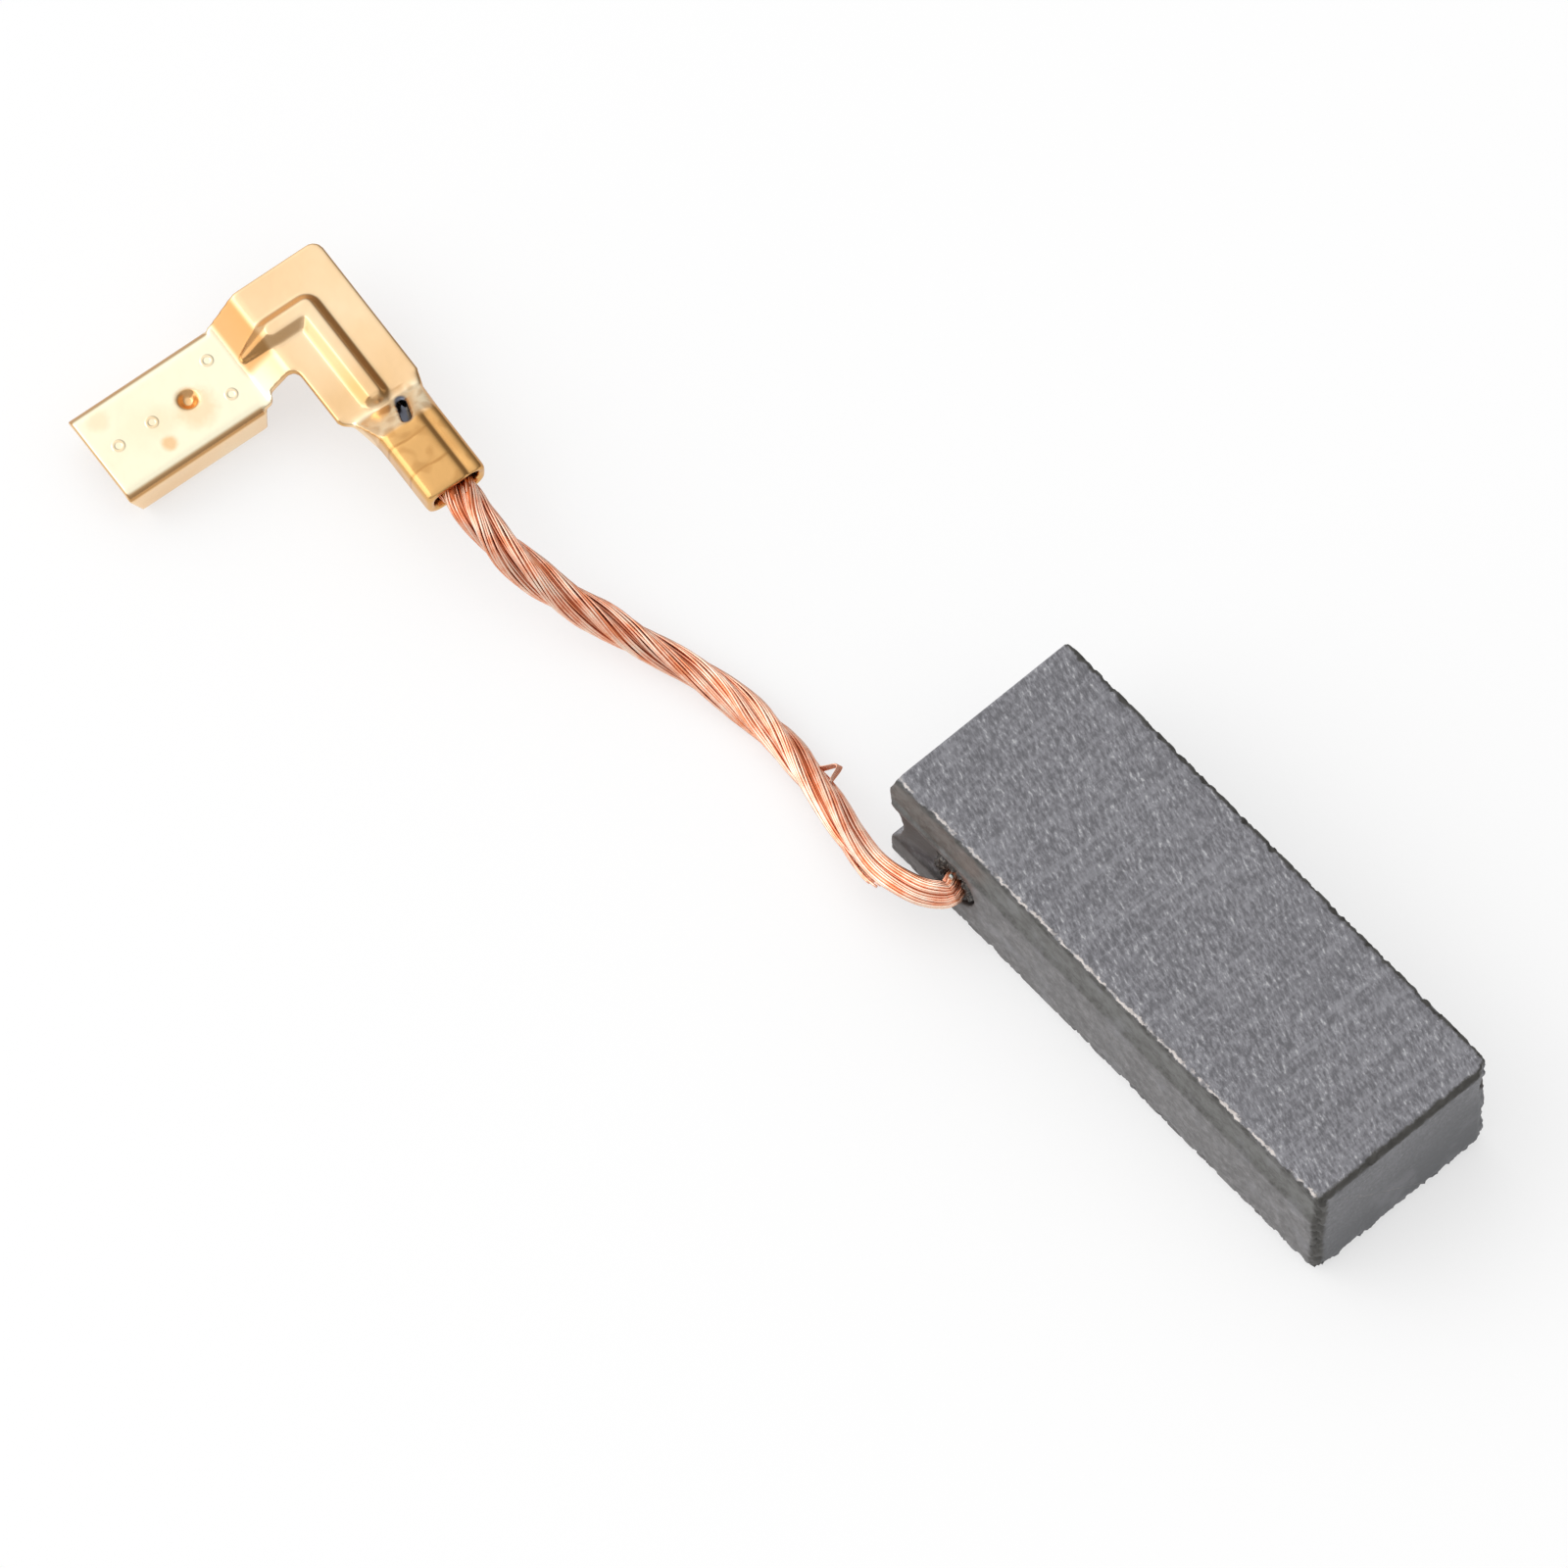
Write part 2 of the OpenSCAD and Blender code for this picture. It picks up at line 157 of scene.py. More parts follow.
def remeshed(shape: Shape, voxel_mm: float, turn: Matrix) -> Shape:
    """Rebuild a closed solid from small even faces.

    Args:
        shape: the solid, in metres.
        voxel_mm: the side of a face, in millimetres.
        turn: the directions that the faces line up with.

    Returns:
        The even mesh, in metres, where the solid was.
    """
    bmesh.ops.transform(shape, matrix=Matrix.Scale(1 / MM, 4) @ turn.inverted(), verts=shape.verts)
    holder = new_object("even", mesh_of("even", shape))
    remesh = holder.modifiers.new("even", "REMESH")
    remesh.mode = "VOXEL"
    remesh.voxel_size = voxel_mm
    even = applied(holder)
    bpy.data.objects.remove(holder)
    result = bmesh.new()
    result.from_mesh(even)
    bpy.data.meshes.remove(even)
    bmesh.ops.transform(result, matrix=turn @ Matrix.Scale(MM, 4), verts=result.verts)
    return result


def finish_piece(name: str, shape: Shape, finish: bpy.types.Material) -> bpy.types.Object:
    """Turn a bmesh into a dressed piece that rides on the brush.

    Args:
        name: the piece's name.
        shape: its mesh, which is used up.
        finish: its material.

    Returns:
        The piece.
    """
    mesh = mesh_of(name, shape)
    shade_smooth(mesh)
    mesh.materials.append(finish)
    piece = new_object(name, mesh)
    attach(piece, BODY)
    return piece


def smoothstep(low: float, high: float, value: float) -> float:
    """Return how far a value has come from low to high, eased at both ends."""
    share = min(1.0, max(0.0, (value - low) / (high - low)))
    return share * share * (3 - 2 * share)


def mount_place(name: str) -> Vector:
    """Return where the record puts a mount, in metres."""
    return next(Vector(m["pos_m"]) for m in frame["record"]["mounts"] if m["name"] == name)


# ---- nodes -------------------------------------------------------------------


class NodeBook:
    """A node tree, with short ways to add and join nodes."""

    def __init__(self, tree: bpy.types.NodeTree) -> None:
        """Open a node tree."""
        self.nodes, self.links = tree.nodes, tree.links

    def add(self, kind: str, sockets: Sockets | None = None, **settings: str) -> bpy.types.Node:
        """Add a node.

        Args:
            kind: the shader node's kind.
            sockets: what each of its sockets takes, another node's output or a plain value.
            settings: its own settings.

        Returns:
            The node.
        """
        node = self.nodes.new("ShaderNode" + kind)
        for name, value in settings.items():
            setattr(node, name, value)
        for socket, value in (sockets or {}).items():
            if isinstance(value, Socket):
                self.links.new(value, node.inputs[socket])
            else:
                node.inputs[socket].default_value = value
        return node

    def math(self, operation: str, first: Socket, second: Socket | float) -> Socket:
        """Return what a math node makes of two values."""
        return self.add("Math", {0: first, 1: second}, operation=operation).outputs[0]

    def eased(self, value: Socket, start: float, end: float, results: Range = (0.0, 1.0)) -> Socket:
        """Ease a value from one result to another.

        Args:
            value: the value.
            start: up to where the first result holds.
            end: from where on the second one does; it may lie below start.
            results: the two results.

        Returns:
            The eased value.
        """
        (low, first), (high, last) = sorted(zip((start, end), results))
        sockets = {"Value": value, "From Min": low, "From Max": high, "To Min": first, "To Max": last}
        return self.add("MapRange", sockets, interpolation_type="SMOOTHSTEP").outputs[0]

    def ramp(self, factor: Socket, *stops: tuple[float, Colour]) -> Socket:
        """Turn a factor into a colour.

        Args:
            factor: the factor.
            stops: each position with its colour.

        Returns:
            The colour.
        """
        node = self.add("ValToRGB", {0: factor})
        elements = node.color_ramp.elements
        while len(elements) < len(stops):
            elements.new(0.5)
        for element, (position, colour) in zip(elements, stops):
            element.position = position
            element.color = (*colour, 1)
        return node.outputs[0]


class FinishBook(NodeBook):
    """A material's node tree round one Principled shader."""

    def __init__(self, name: str) -> None:
        """Start a material.

        Args:
            name: the material's name.
        """
        self.material = bpy.data.materials.new(name)
        self.material.use_nodes = True
        super().__init__(self.material.node_tree)
        self.shader = self.nodes["Principled BSDF"]
        self.where = self.add("TexCoord").outputs["Object"]

    def set(self, **sockets: float | tuple[float, ...]) -> None:
        """Set the shader's own sockets; an underscore in a name stands for a space."""
        for name, value in sockets.items():
            self.shader.inputs[name.replace("_", " ")].default_value = value

    def mapped(self, stretch: Point = (1, 1, 1), turn: float = 0.0) -> Socket:
        """Return object coordinates, stretched along directions that are turned about Z, in degrees."""
        sockets = {"Vector": self.where, "Scale": stretch, "Rotation": (0, 0, math.radians(turn))}
        return self.add("Mapping", sockets, vector_type="TEXTURE").outputs[0]

    def attribute(self, name: str) -> Socket:
        """Read a number that the mesh carries at its points.

        Args:
            name: what the mesh calls it.

        Returns:
            The number.
        """
        node = self.add("Attribute")
        node.attribute_name = name
        return node.outputs["Fac"]

    def gap_from(self, place: Vector) -> Socket:
        """Return the distance from a point, in metres."""
        return self.add("VectorMath", {0: self.where, 1: place}, operation="DISTANCE").outputs["Value"]

    def tint(self, colour: Socket, share: Socket, over: Socket | Colour, most: float = 1.0) -> Socket:
        """Lay one colour over another.

        Args:
            colour: the colour below.
            share: where the upper one lies.
            over: the upper colour.
            most: how much of it covers where share is 1.

        Returns:
            The mixed colour.
        """
        covers = share if most == 1.0 else self.math("MULTIPLY", share, most)
        upper = (*over, 1) if isinstance(over, tuple) else over
        return self.add("Mix", {0: covers, 6: colour, 7: upper}, data_type="RGBA").outputs[2]

    def noise(self, vector: Socket, scale: float, detail: float = 2.0, roughness: float = 0.5) -> Socket:
        """Return a noise factor on the given coordinates."""
        sockets = {"Vector": vector, "Scale": scale, "Detail": detail, "Roughness": roughness}
        return self.add("TexNoise", sockets).outputs["Fac"]

    def frayed(self, value: Socket, by: Socket, scale: float) -> Socket:
        """Return a value with a scaled noise added, so that its outline frays."""
        return self.math("ADD", self.math("MULTIPLY", by, scale), value)

    def bump(self, height: Socket, distance: float, strength: float = 1.0) -> None:
        """Raise the surface, on top of any bump so far.

        Args:
            height: the pattern, from 0 to 1.
            distance: how high it stands, in metres.
            strength: how much of it shows.
        """
        node = self.add("Bump", {"Height": height, "Distance": distance, "Strength": strength})
        normal = self.shader.inputs["Normal"]
        if normal.is_linked:
            self.links.new(normal.links[0].from_socket, node.inputs["Normal"])
        self.links.new(node.outputs[0], normal)

    def paint(self, colour: Socket) -> None:
        """Let a colour be the shader's base colour."""
        self.links.new(colour, self.shader.inputs["Base Color"])


# ---- camera, floor and light ---------------------------------------------------


@dataclass
class Studio:
    """The camera, the pale floor and the soft lights round the brush.

    Angles are in degrees. Places and distances are in metres, but the lens, the sensor and the
    floor's drop are in millimetres. The sky's tones go from the floor's level, 0, to overhead, 1.
    """

    azimuth: float = 47.748
    elevation: float = 63.61
    tilt: float = 0.47
    looks_at: Vector = field(default_factory=lambda: mm(-16.805, -5.507, 0))
    distance: float = 1.4841
    lens: float = 900.0
    sensor: float = 36.0
    clip: Range = (0.01, 20.0)
    floor_drop: float = 0.02
    paper_tone: float = 0.95
    paper_rough: float = 0.9
    glow_share: float = 0.6
    sky: tuple[Range, ...] = ((0.0, 0.5), (0.45, 0.58), (0.75, 0.85), (1.0, 1.0))
    sky_strength: float = 1.065
    far_side: float = 0.55
    far_fade: Range = (0.0, 0.9)
    lit_side: float = 1.7
    lit_fade: Range = (-0.9, 0.0)
    key_from: Point = (-0.42, -0.62, 0.45)
    key_size: float = 1.0
    key_power: float = 3.6

    def aim(self) -> Matrix:
        """Work out where the camera stands and how it is turned.

        Returns:
            Its place and directions.
        """
        turn, rise, lean = (math.radians(a) for a in (self.azimuth, self.elevation, self.tilt))
        level = Vector((math.cos(turn), math.sin(turn), 0))
        flat = math.cos(rise)
        ahead = Vector((-math.sin(turn) * flat, math.cos(turn) * flat, -math.sin(rise)))
        up = level.cross(ahead)
        right = level * math.cos(lean) + up * math.sin(lean)
        over = right.cross(ahead)
        place = self.looks_at - ahead * self.distance
        basis = Matrix((right, over, -ahead)).transposed().to_4x4()
        return Matrix.Translation(place) @ basis

    def place_camera(self) -> None:
        """Make the camera and let the scene use it."""
        data = bpy.data.cameras.new("camera")
        data.lens = self.lens
        data.sensor_width = self.sensor
        data.clip_start, data.clip_end = self.clip
        camera = bpy.data.objects.new("camera", data)
        camera.matrix_world = self.aim()
        bpy.context.scene.collection.objects.link(camera)
        bpy.context.scene.camera = camera

    def lay_floor(self) -> None:
        """Lay a pale floor that catches the brush's soft shadow."""
        shape = bmesh.new()
        bmesh.ops.create_grid(shape, x_segments=1, y_segments=1, size=2.0)
        bmesh.ops.translate(shape, verts=shape.verts, vec=(0, 0, -self.floor_drop * MM))
        mesh = mesh_of("floor", shape)
        mesh.materials.append(self.paper())
        new_object("floor", mesh)

    def paper(self) -> bpy.types.Material:
        """Make the floor's white, which keeps a part of the shadow that falls on it.

        To the camera and to mirroring surfaces it glows a little.

        Returns:
            The material.
        """
        book = FinishBook("pale_paper")
        white = (*[self.paper_tone] * 3, 1)
        book.set(Base_Color=white, Roughness=self.paper_rough, Specular_IOR_Level=0.0)
        path = book.add("LightPath").outputs
        seen = book.math("MAXIMUM", path["Is Camera Ray"], path["Is Glossy Ray"])
        share = book.math("MULTIPLY", seen, self.glow_share)
        glow = book.add("Emission").outputs[0]
        mix = book.add("MixShader", {0: share, 1: book.shader.outputs[0], 2: glow})
        book.links.new(mix.outputs[0], book.nodes["Material Output"].inputs["Surface"])
        return book.material

    def light(self) -> None:
        """Hang the soft light and set the sky, which the camera itself sees as plain white."""
        self.softbox("key", self.key_from, self.key_size, self.key_power)
        sky = bpy.data.worlds.new("studio")
        bpy.context.scene.world = sky
        sky.use_nodes = True
        sky.node_tree.nodes.clear()
        book = NodeBook(sky.node_tree)
        seen = book.add("LightPath").outputs["Is Camera Ray"]
        white = book.add("Background", {"Color": (1, 1, 1, 1)}).outputs[0]
        mix = book.add("MixShader", {0: seen, 1: self.room(book), 2: white})
        book.add("OutputWorld", {0: mix.outputs[0]})

    def room(self, book: NodeBook) -> Socket:
        """Make the room that the brush mirrors: darker on the far side, brighter behind the terminal.

        Args:
            book: the sky's nodes.

        Returns:
            The room's light.
        """
        where = book.add("TexCoord").outputs["Generated"]
        parts = book.add("SeparateXYZ", {0: where}).outputs
        tones = book.ramp(parts["Z"], *((height, (tone,) * 3) for height, tone in self.sky))
        far = self.sky_strength * self.far_side
        across = book.eased(parts["Y"], *self.far_fade, (self.sky_strength, far))
        along = book.eased(parts["X"], *self.lit_fade, (self.lit_side, 1.0))
        strength = book.math("MULTIPLY", across, along)
        return book.add("Background", {"Color": tones, "Strength": strength}).outputs[0]

    def softbox(self, name: str, place: Point, size: float, power: float) -> None:
        """Hang one square light that faces the brush.

        Args:
            name: the light's name.
            place: where it hangs.
            size: its side.
            power: its power in watts.
        """
        data = bpy.data.lights.new(name, "AREA")
        data.shape = "SQUARE"
        data.size = size
        data.energy = power
        lamp = bpy.data.objects.new(name, data)
        lamp.location = place
        lamp.rotation_euler = (self.looks_at - Vector(place)).to_track_quat("-Z", "Y").to_euler()
        bpy.context.scene.collection.objects.link(lamp)

    def build(self) -> None:
        """Set the whole studio up."""
        self.place_camera()
        self.lay_floor()
        self.light()
        bpy.context.scene.view_settings.view_transform = "Standard"


# ---- finishes --------------------------------------------------------------------


@dataclass(frozen=True)
class PressedCarbon:
    """Carbon-graphite, pressed and ground: dark grey with a fine streaky grain and a satin sheen, and
    painted shade on its sides, rims, hole and channel.
    """

    base: Colour = (0.184, 0.181, 0.198)
    dark: Colour = (0.112, 0.111, 0.122)
    light: Colour = (0.268, 0.267, 0.288)
    fleck: Colour = (0.46, 0.46, 0.47)
    band: Colour = (0.105, 0.105, 0.098)
    # the wire side's tones are painted shade, darker than the top, with their own speckle
    side: Colour = (0.109, 0.103, 0.101)
    side_dark: Colour = (0.062, 0.058, 0.055)
    side_light: Colour = (0.198, 0.189, 0.189)
    # painted shade for the contact end, which faces away from the key light
    end_shade: Colour = (0.112, 0.114, 0.12)
    # painted shade for the lower part of the contact end
    foot: Colour = (0.07, 0.073, 0.08)
    # dark tone of the painted shade along the rims, also the band's darkest speck
    rim: Colour = (0.05, 0.047, 0.042)
    chip: Colour = (0.60, 0.55, 0.52)
    # colour of dust and of painted shade in the hole and the wire's channel
    dust_and_shade: Colour = (0.055, 0.043, 0.037)
    grain_per_m: float = 8200.0
    grain_long: float = 2.6
    grain_turn: float = -17.0
    grain_high: float = 0.00001
    pits_deep: float = 0.00003

    def make(self) -> bpy.types.Material:
        """Make the material.

        Returns:
            The material, which a piece's mesh can carry.
        """
        book = FinishBook("pressed_carbon")
        along_grain = book.mapped((self.grain_long, 1, 1), self.grain_turn)
        streaks = book.noise(along_grain, self.grain_per_m, 4.0, 0.65)
        clouds = book.noise(book.mapped(), 700.0, 3.0, 0.55)
        lines = book.noise(book.mapped((1, 16, 1), -2.0), 4200.0, 2.0)
        speckle = book.noise(book.mapped(), 2400.0, 5.0, 0.75)
        colour = book.ramp(streaks, (0.38, self.dark), (0.5, self.base), (0.62, self.light))
        colour = book.tint(colour, book.eased(lines, 0.54, 0.68), self.light, 0.4)
        colour = book.tint(colour, book.eased(lines, 0.46, 0.34), self.dark, 0.35)
        colour = book.tint(colour, book.eased(streaks, 0.61, 0.69), self.fleck)
        colour = book.tint(colour, book.eased(speckle, 0.36, 0.28), self.dark)
        # painted shade: the wire side is tinted darker than the top, as if less lit
        side = book.ramp(speckle, (0.34, self.side_dark), (0.5, self.side), (0.68, self.side_light))
        colour = book.tint(colour, book.attribute("wall"), side, 0.85)
        # painted shade: the contact end is tinted darker than the top
        colour = book.tint(colour, book.attribute("end"), self.end_shade, 0.6)
        # painted shade: the contact end grows darker towards the bottom, as if in the floor's shadow
        colour = book.tint(colour, book.attribute("foot"), self.foot, 0.85)
        band = book.ramp(speckle, (0.36, self.rim), (0.56, self.band))
        colour = book.tint(colour, book.attribute("band"), band, 0.9)
        colour = book.tint(colour, book.eased(clouds, 0.5, 0.74), self.light, 0.3)
        crumbs = book.noise(book.mapped(), 3400.0, 4.0, 0.65)
        ragged = book.frayed(book.attribute("across"), crumbs, 0.5)
        # painted shade: a dark line along the rounded top edge of the wire side
        below = book.math("MULTIPLY", book.eased(ragged, 0.24, 0.16), book.eased(ragged, -0.3, -0.08))
        colour = book.tint(colour, below, self.rim, 0.7)
        where_chipped = book.eased(book.noise(book.mapped(), 1300.0, 3.0, 0.6), 0.4, 0.56)
        chips = book.math("MULTIPLY", book.eased(ragged, 0.4, 0.34), book.eased(ragged, 0.21, 0.26))
        colour = book.tint(colour, book.math("MULTIPLY", chips, where_chipped), self.chip)
        # painted shade: dark rims along the other rounded edges
        rim_shade = book.frayed(book.attribute("rim"), crumbs, 0.3)
        colour = book.tint(colour, book.eased(rim_shade, 0.42, 0.28), self.rim)
        # dust round the hole, and painted shade in the hole and the wire's channel
        colour = book.tint(colour, book.attribute("dust_and_shade"), self.dust_and_shade)
        book.paint(colour)
        book.set(Roughness=0.5, Specular_IOR_Level=0.5)
        book.bump(streaks, self.grain_high, 0.7)
        book.bump(speckle, self.pits_deep, 0.35)
        return book.material


@dataclass(frozen=True)
class BareCopper:
    """Bright drawn copper strand, with painted shade, redder and darker, between the strands and on the
    rope's far side, and painted highlight patches.
    """

    pale: Colour = (1.0, 0.76, 0.61)
    base: Colour = (1.0, 0.56, 0.40)
    dull: Colour = (0.86, 0.34, 0.18)
    deep: Colour = (0.46, 0.12, 0.045)

    def make(self) -> bpy.types.Material:
        """Make the material.

        Returns:
            The material, which a piece's mesh can carry.
        """
        book = FinishBook("bare_copper")
        # each strand's own tone, with noise patches that paint highlights on it in a mottle
        patches = book.noise(book.mapped(), 1100.0, 3.0, 0.6)
        tone = book.frayed(book.attribute("tone"), patches, 1.5)
        colour = book.ramp(tone, (0.3, self.dull), (0.55, self.base), (0.85, self.pale))
        # painted shade: deep red where strands lie between others and on the rope's far side
        colour = book.tint(colour, book.attribute("depth"), self.deep)
        book.paint(colour)
        book.set(Metallic=1.0, Roughness=0.26)
        return book.material


@dataclass(frozen=True)
class BrightBrass:
    """Stamped brass sheet: pale on the receptacle, warmer towards the barrel, with a few stains, painted
    brown shade on its folds and far faces, a painted dark slot and a paler neck as painted light.
    """

    pale: Colour = (0.98, 0.91, 0.68)
    base: Colour = (0.94, 0.665, 0.39)
    warm: Colour = (0.74, 0.42, 0.155)
    # colour of the painted brown shade and of the barrel's marks
    brown: Colour = (0.50, 0.245, 0.075)
    stain: Colour = (0.86, 0.50, 0.22)
    # painted shade of the slot: the shaded floor seen through the gap
    slot_shade: Colour = (0.12, 0.125, 0.15)
    ring_high: float = 0.00003
    ripple_high: float = 0.00002

    def make(self, terminal: FlagTerminal) -> bpy.types.Material:
        """Make the brass, with its stains and rings at their places.

        Args:
            terminal: the terminal, which knows the places.

        Returns:
            The material.
        """
        book = FinishBook("bright_brass")
        patches = book.noise(book.mapped(), 300.0, 3.0)
        # warmth, with painted shade on steep faces and painted light on the neck
        age = book.frayed(book.attribute("age"), patches, 0.4)
        colour = book.ramp(age, (0.2, self.pale), (0.6, self.base), (1.0, self.warm))
        blots = book.noise(book.mapped(), 2600.0, 3.0, 0.6)
        # painted brown shade on the step, the folds and far-facing faces, with the barrel's valley,
        # blotches and tool lines
        colour = book.tint(colour, book.attribute("brown"), self.brown)
        for across, along, radius, share in terminal.stains:
            gap = book.gap_from(terminal.placed(across, along, terminal.plate_up))
            ragged = book.frayed(gap, blots, -0.5 * radius * MM)
            spot = book.eased(ragged, radius * MM, 0.2 * radius * MM)
            colour = book.tint(colour, spot, self.stain, share)
        for across, along in terminal.rings:
            gap = book.gap_from(terminal.placed(across, along, terminal.plate_up))
            off = book.math("ABSOLUTE", book.math("SUBTRACT", gap, terminal.ring_r * MM), 0.0)
            line = book.eased(off, terminal.ring_line[0] * MM, terminal.ring_line[1] * MM)
            colour = book.tint(colour, line, self.warm, 0.35)
            book.bump(line, self.ring_high, 0.6)
        # painted shade: the slot between the wings, as a dark tint on the sheet
        colour = book.tint(colour, book.attribute("slot_shade"), self.slot_shade)
        book.paint(colour)
        book.set(Metallic=1.0, Roughness=0.22)
        book.bump(book.noise(book.mapped(), 1800.0, 2.0), self.ripple_high, 0.35)
        return book.material


@dataclass(frozen=True)
class RammedPowder:
    """Dark copper powder, rammed hard."""

    base: Colour = (0.030, 0.028, 0.026)
    glint: Colour = (0.22, 0.2, 0.18)
    grain_high: float = 0.00003

    def make(self) -> bpy.types.Material:
        """Make the material.

        Returns:
            The material, which a piece's mesh can carry.
        """
        book = FinishBook("rammed_powder")
        grain = book.noise(book.mapped(), 9000.0, 2.0)
        book.paint(book.ramp(grain, (0.5, self.base), (0.72, self.glint)))
        book.set(Roughness=0.5)
        book.bump(grain, self.grain_high)
        return book.material


@dataclass(frozen=True)
class SolderBead:
    """A small bright drop of metal beside the rope."""

    base: Colour = (0.72, 0.80, 0.76)
    dull: Colour = (0.4, 0.46, 0.44)

    def make(self) -> bpy.types.Material:
        """Make the material.

        Returns:
            The material, which a piece's mesh can carry.
        """
        book = FinishBook("metal_bead")
        patches = book.noise(book.mapped(), 4000.0, 2.0)
        book.paint(book.ramp(patches, (0.3, self.dull), (0.6, self.base)))
        book.set(Metallic=1.0, Roughness=0.35)
        return book.material


# ---- pieces -------------------------------------------------------------------------


@dataclass(frozen=True)
class WornEdge:
    """The edge between two faces, and how it has crumbled, in millimetres.

    The wear reaches some way in from the edge. Its depth follows the crumbs, and steady is the
    share of it that is the same all along.
    """

    first: Face
    second: Face
    depth: float
    reach: float
    steady: float = 0.12

    def shift(self, place: Vector, gaps: dict[Face, float]) -> Vector:
        """Work out how far the wear moves a point.

        Args:
            place: the point.
            gaps: how deep it lies below each face.

        Returns:
            The way inwards, which is nothing past the edge's reach.
        """
        near = max(gaps[self.first], gaps[self.second])
        if near >= self.reach:
            return Vector()
        inward = -(Vector(self.first.value) + Vector(self.second.value)).normalized()
        crumb = noise.fractal(place * 2.6 + Vector(self.second.value) * 9, 0.6, 2.1, 4)
        return inward * self.depth * (1 - near / self.reach) * max(0.0, crumb + self.steady)


@dataclass
class CarbonBlock:
    """The pressed block, with edges broken by wear and slightly chipped.

    Each fade runs from where its tint is not seen to where it is seen in full.
    """

    voxel_mm: float = 0.103
    line_drop: float = 2.05
    line_fade: float = 0.06
    band_in: float = 0.12
    crest_z: float = 4.95
    crest_reach: float = 1.35
    crest_out: float = 0.2
    chip_z: float = 5.0
    chip_r: float = 0.75
    chip_shift: Point = (-0.24, -0.26, -0.05)
    edge_zone: float = 0.3
    clear_of_edge: float = 99.0
    end_rim: float = 0.8
    upright_rim: float = 0.55
    wall_fade: Range = (0.25, 0.1)
    top_fade: Range = (0.05, 0.2)
    end_fade: Range = (0.2, 0.05)
    foot_fade: Range = (5.0, 0.0)
    foot_slant: float = 0.25
    foot_from: float = -4.0
    hole_wall: float = 0.08
    hole_depth: Range = (0.4, 5.0)
    dust_reach: float = 0.75
    dust_depth: float = 0.5
    channel_depth: Range = (0.02, 1.1)
    channel_floor: float = 1.0
    channel_l: float = 9.0
    edges: tuple[WornEdge, ...] = (
        WornEdge(Face.WIRE, Face.TOP, 0.26, 0.42),
        WornEdge(Face.FAR, Face.TOP, 0.22, 0.42),
        WornEdge(Face.CONTACT, Face.TOP, 0.16, 0.45, 0.3),
        WornEdge(Face.WIRE, Face.CONTACT, 0.28, 0.5, 0.2),
        WornEdge(Face.WIRE, Face.BOTTOM, 0.42, 1.1),
        WornEdge(Face.CONTACT, Face.BOTTOM, 0.3, 0.9, 0.7),
        WornEdge(Face.FAR, Face.CONTACT, 0.22, 0.7, 0.7),
    )

    def __post_init__(self) -> None:
        """Read the block's and the hole's places from the frame, in millimetres."""
        self.low, self.high = (Vector(corner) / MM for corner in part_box("carbon_block"))
        plug_low, plug_high = (Vector(corner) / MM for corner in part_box("tamping_plug"))
        self.hole = (plug_low + plug_high) / 2
        self.hole_r = (plug_high.x - plug_low.x) / 2
        self.chipped = Vector((self.high.x, self.high.y, self.chip_z))

    def build(self, finish: bpy.types.Material) -> bpy.types.Object:
        """Build and dress the block.

        Args:
            finish: the carbon.

        Returns:
            The piece.
        """
        shape = remeshed(merged_copy("carbon_block"), self.voxel_mm, Matrix.Identity(4))
        self.mark(shape)
        self.wear(shape)
        piece = finish_piece("block", shape, finish)
        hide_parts("carbon_block")
        return piece

    def gaps(self, place: Vector) -> dict[Face, float]:
        """Measure how deep a place lies below each face.

        Args:
            place: the place, in millimetres.

        Returns:
            The depths, in millimetres; above the press line the wire side stands back.
        """
        in_band = place.z > self.high.z - self.line_drop
        return {
            Face.CONTACT: self.high.x - place.x,
            Face.WIRE: place.y - self.low.y - (self.band_in if in_band else 0.0),
            Face.FAR: self.high.y - place.y,
            Face.TOP: self.high.z - place.z,
            Face.BOTTOM: place.z - self.low.z,
        }

    def mark(self, shape: Shape) -> None:
        """Note on every point what the finish needs to know of it.

        Args:
            shape: the block before its wear, which gains the layers.
        """
        names = ("across", "rim", "band", "wall", "end", "foot", "dust_and_shade")
        layers = {name: shape.verts.layers.float.new(name) for name in names}
        for vert in shape.verts:
            for name, value in self.marks(vert.co / MM).items():
                vert[layers[name]] = value

    def marks(self, place: Vector) -> dict[str, float]:
        """Work out where a place lies on the block.

        Args:
            place: the place, in millimetres.

        Returns:
            The way across the top edge of the wire side, the distance from the rims that are painted
            dark as shade, how far it lies on the wire side, which is painted shaded, and on its band,
            how far it lies on the contact end, which is painted shaded, and on that end's lower part,
            which is painted darker towards the bottom, and its share of dust and painted shade.
        """
        gaps = self.gaps(place)
        near, top, contact, far = (gaps[face] for face in (Face.WIRE, Face.TOP, Face.CONTACT, Face.FAR))
        across = near - top
        if min(near, top) >= self.edge_zone:
            across *= self.clear_of_edge
        end_rim = self.end_rim * max(contact, top)
        upright_rim = self.upright_rim * max(contact, near)
        # how far a place lies on the wire side, which carries the painted side shade and the band
        on_wall = smoothstep(*self.wall_fade, near) * smoothstep(*self.top_fade, top)
        above_line = smoothstep(self.line_drop + self.line_fade, self.line_drop - self.line_fade, top)
        # how far a place lies on the contact end, which is painted darker as shade
        on_end = smoothstep(*self.end_fade, contact)
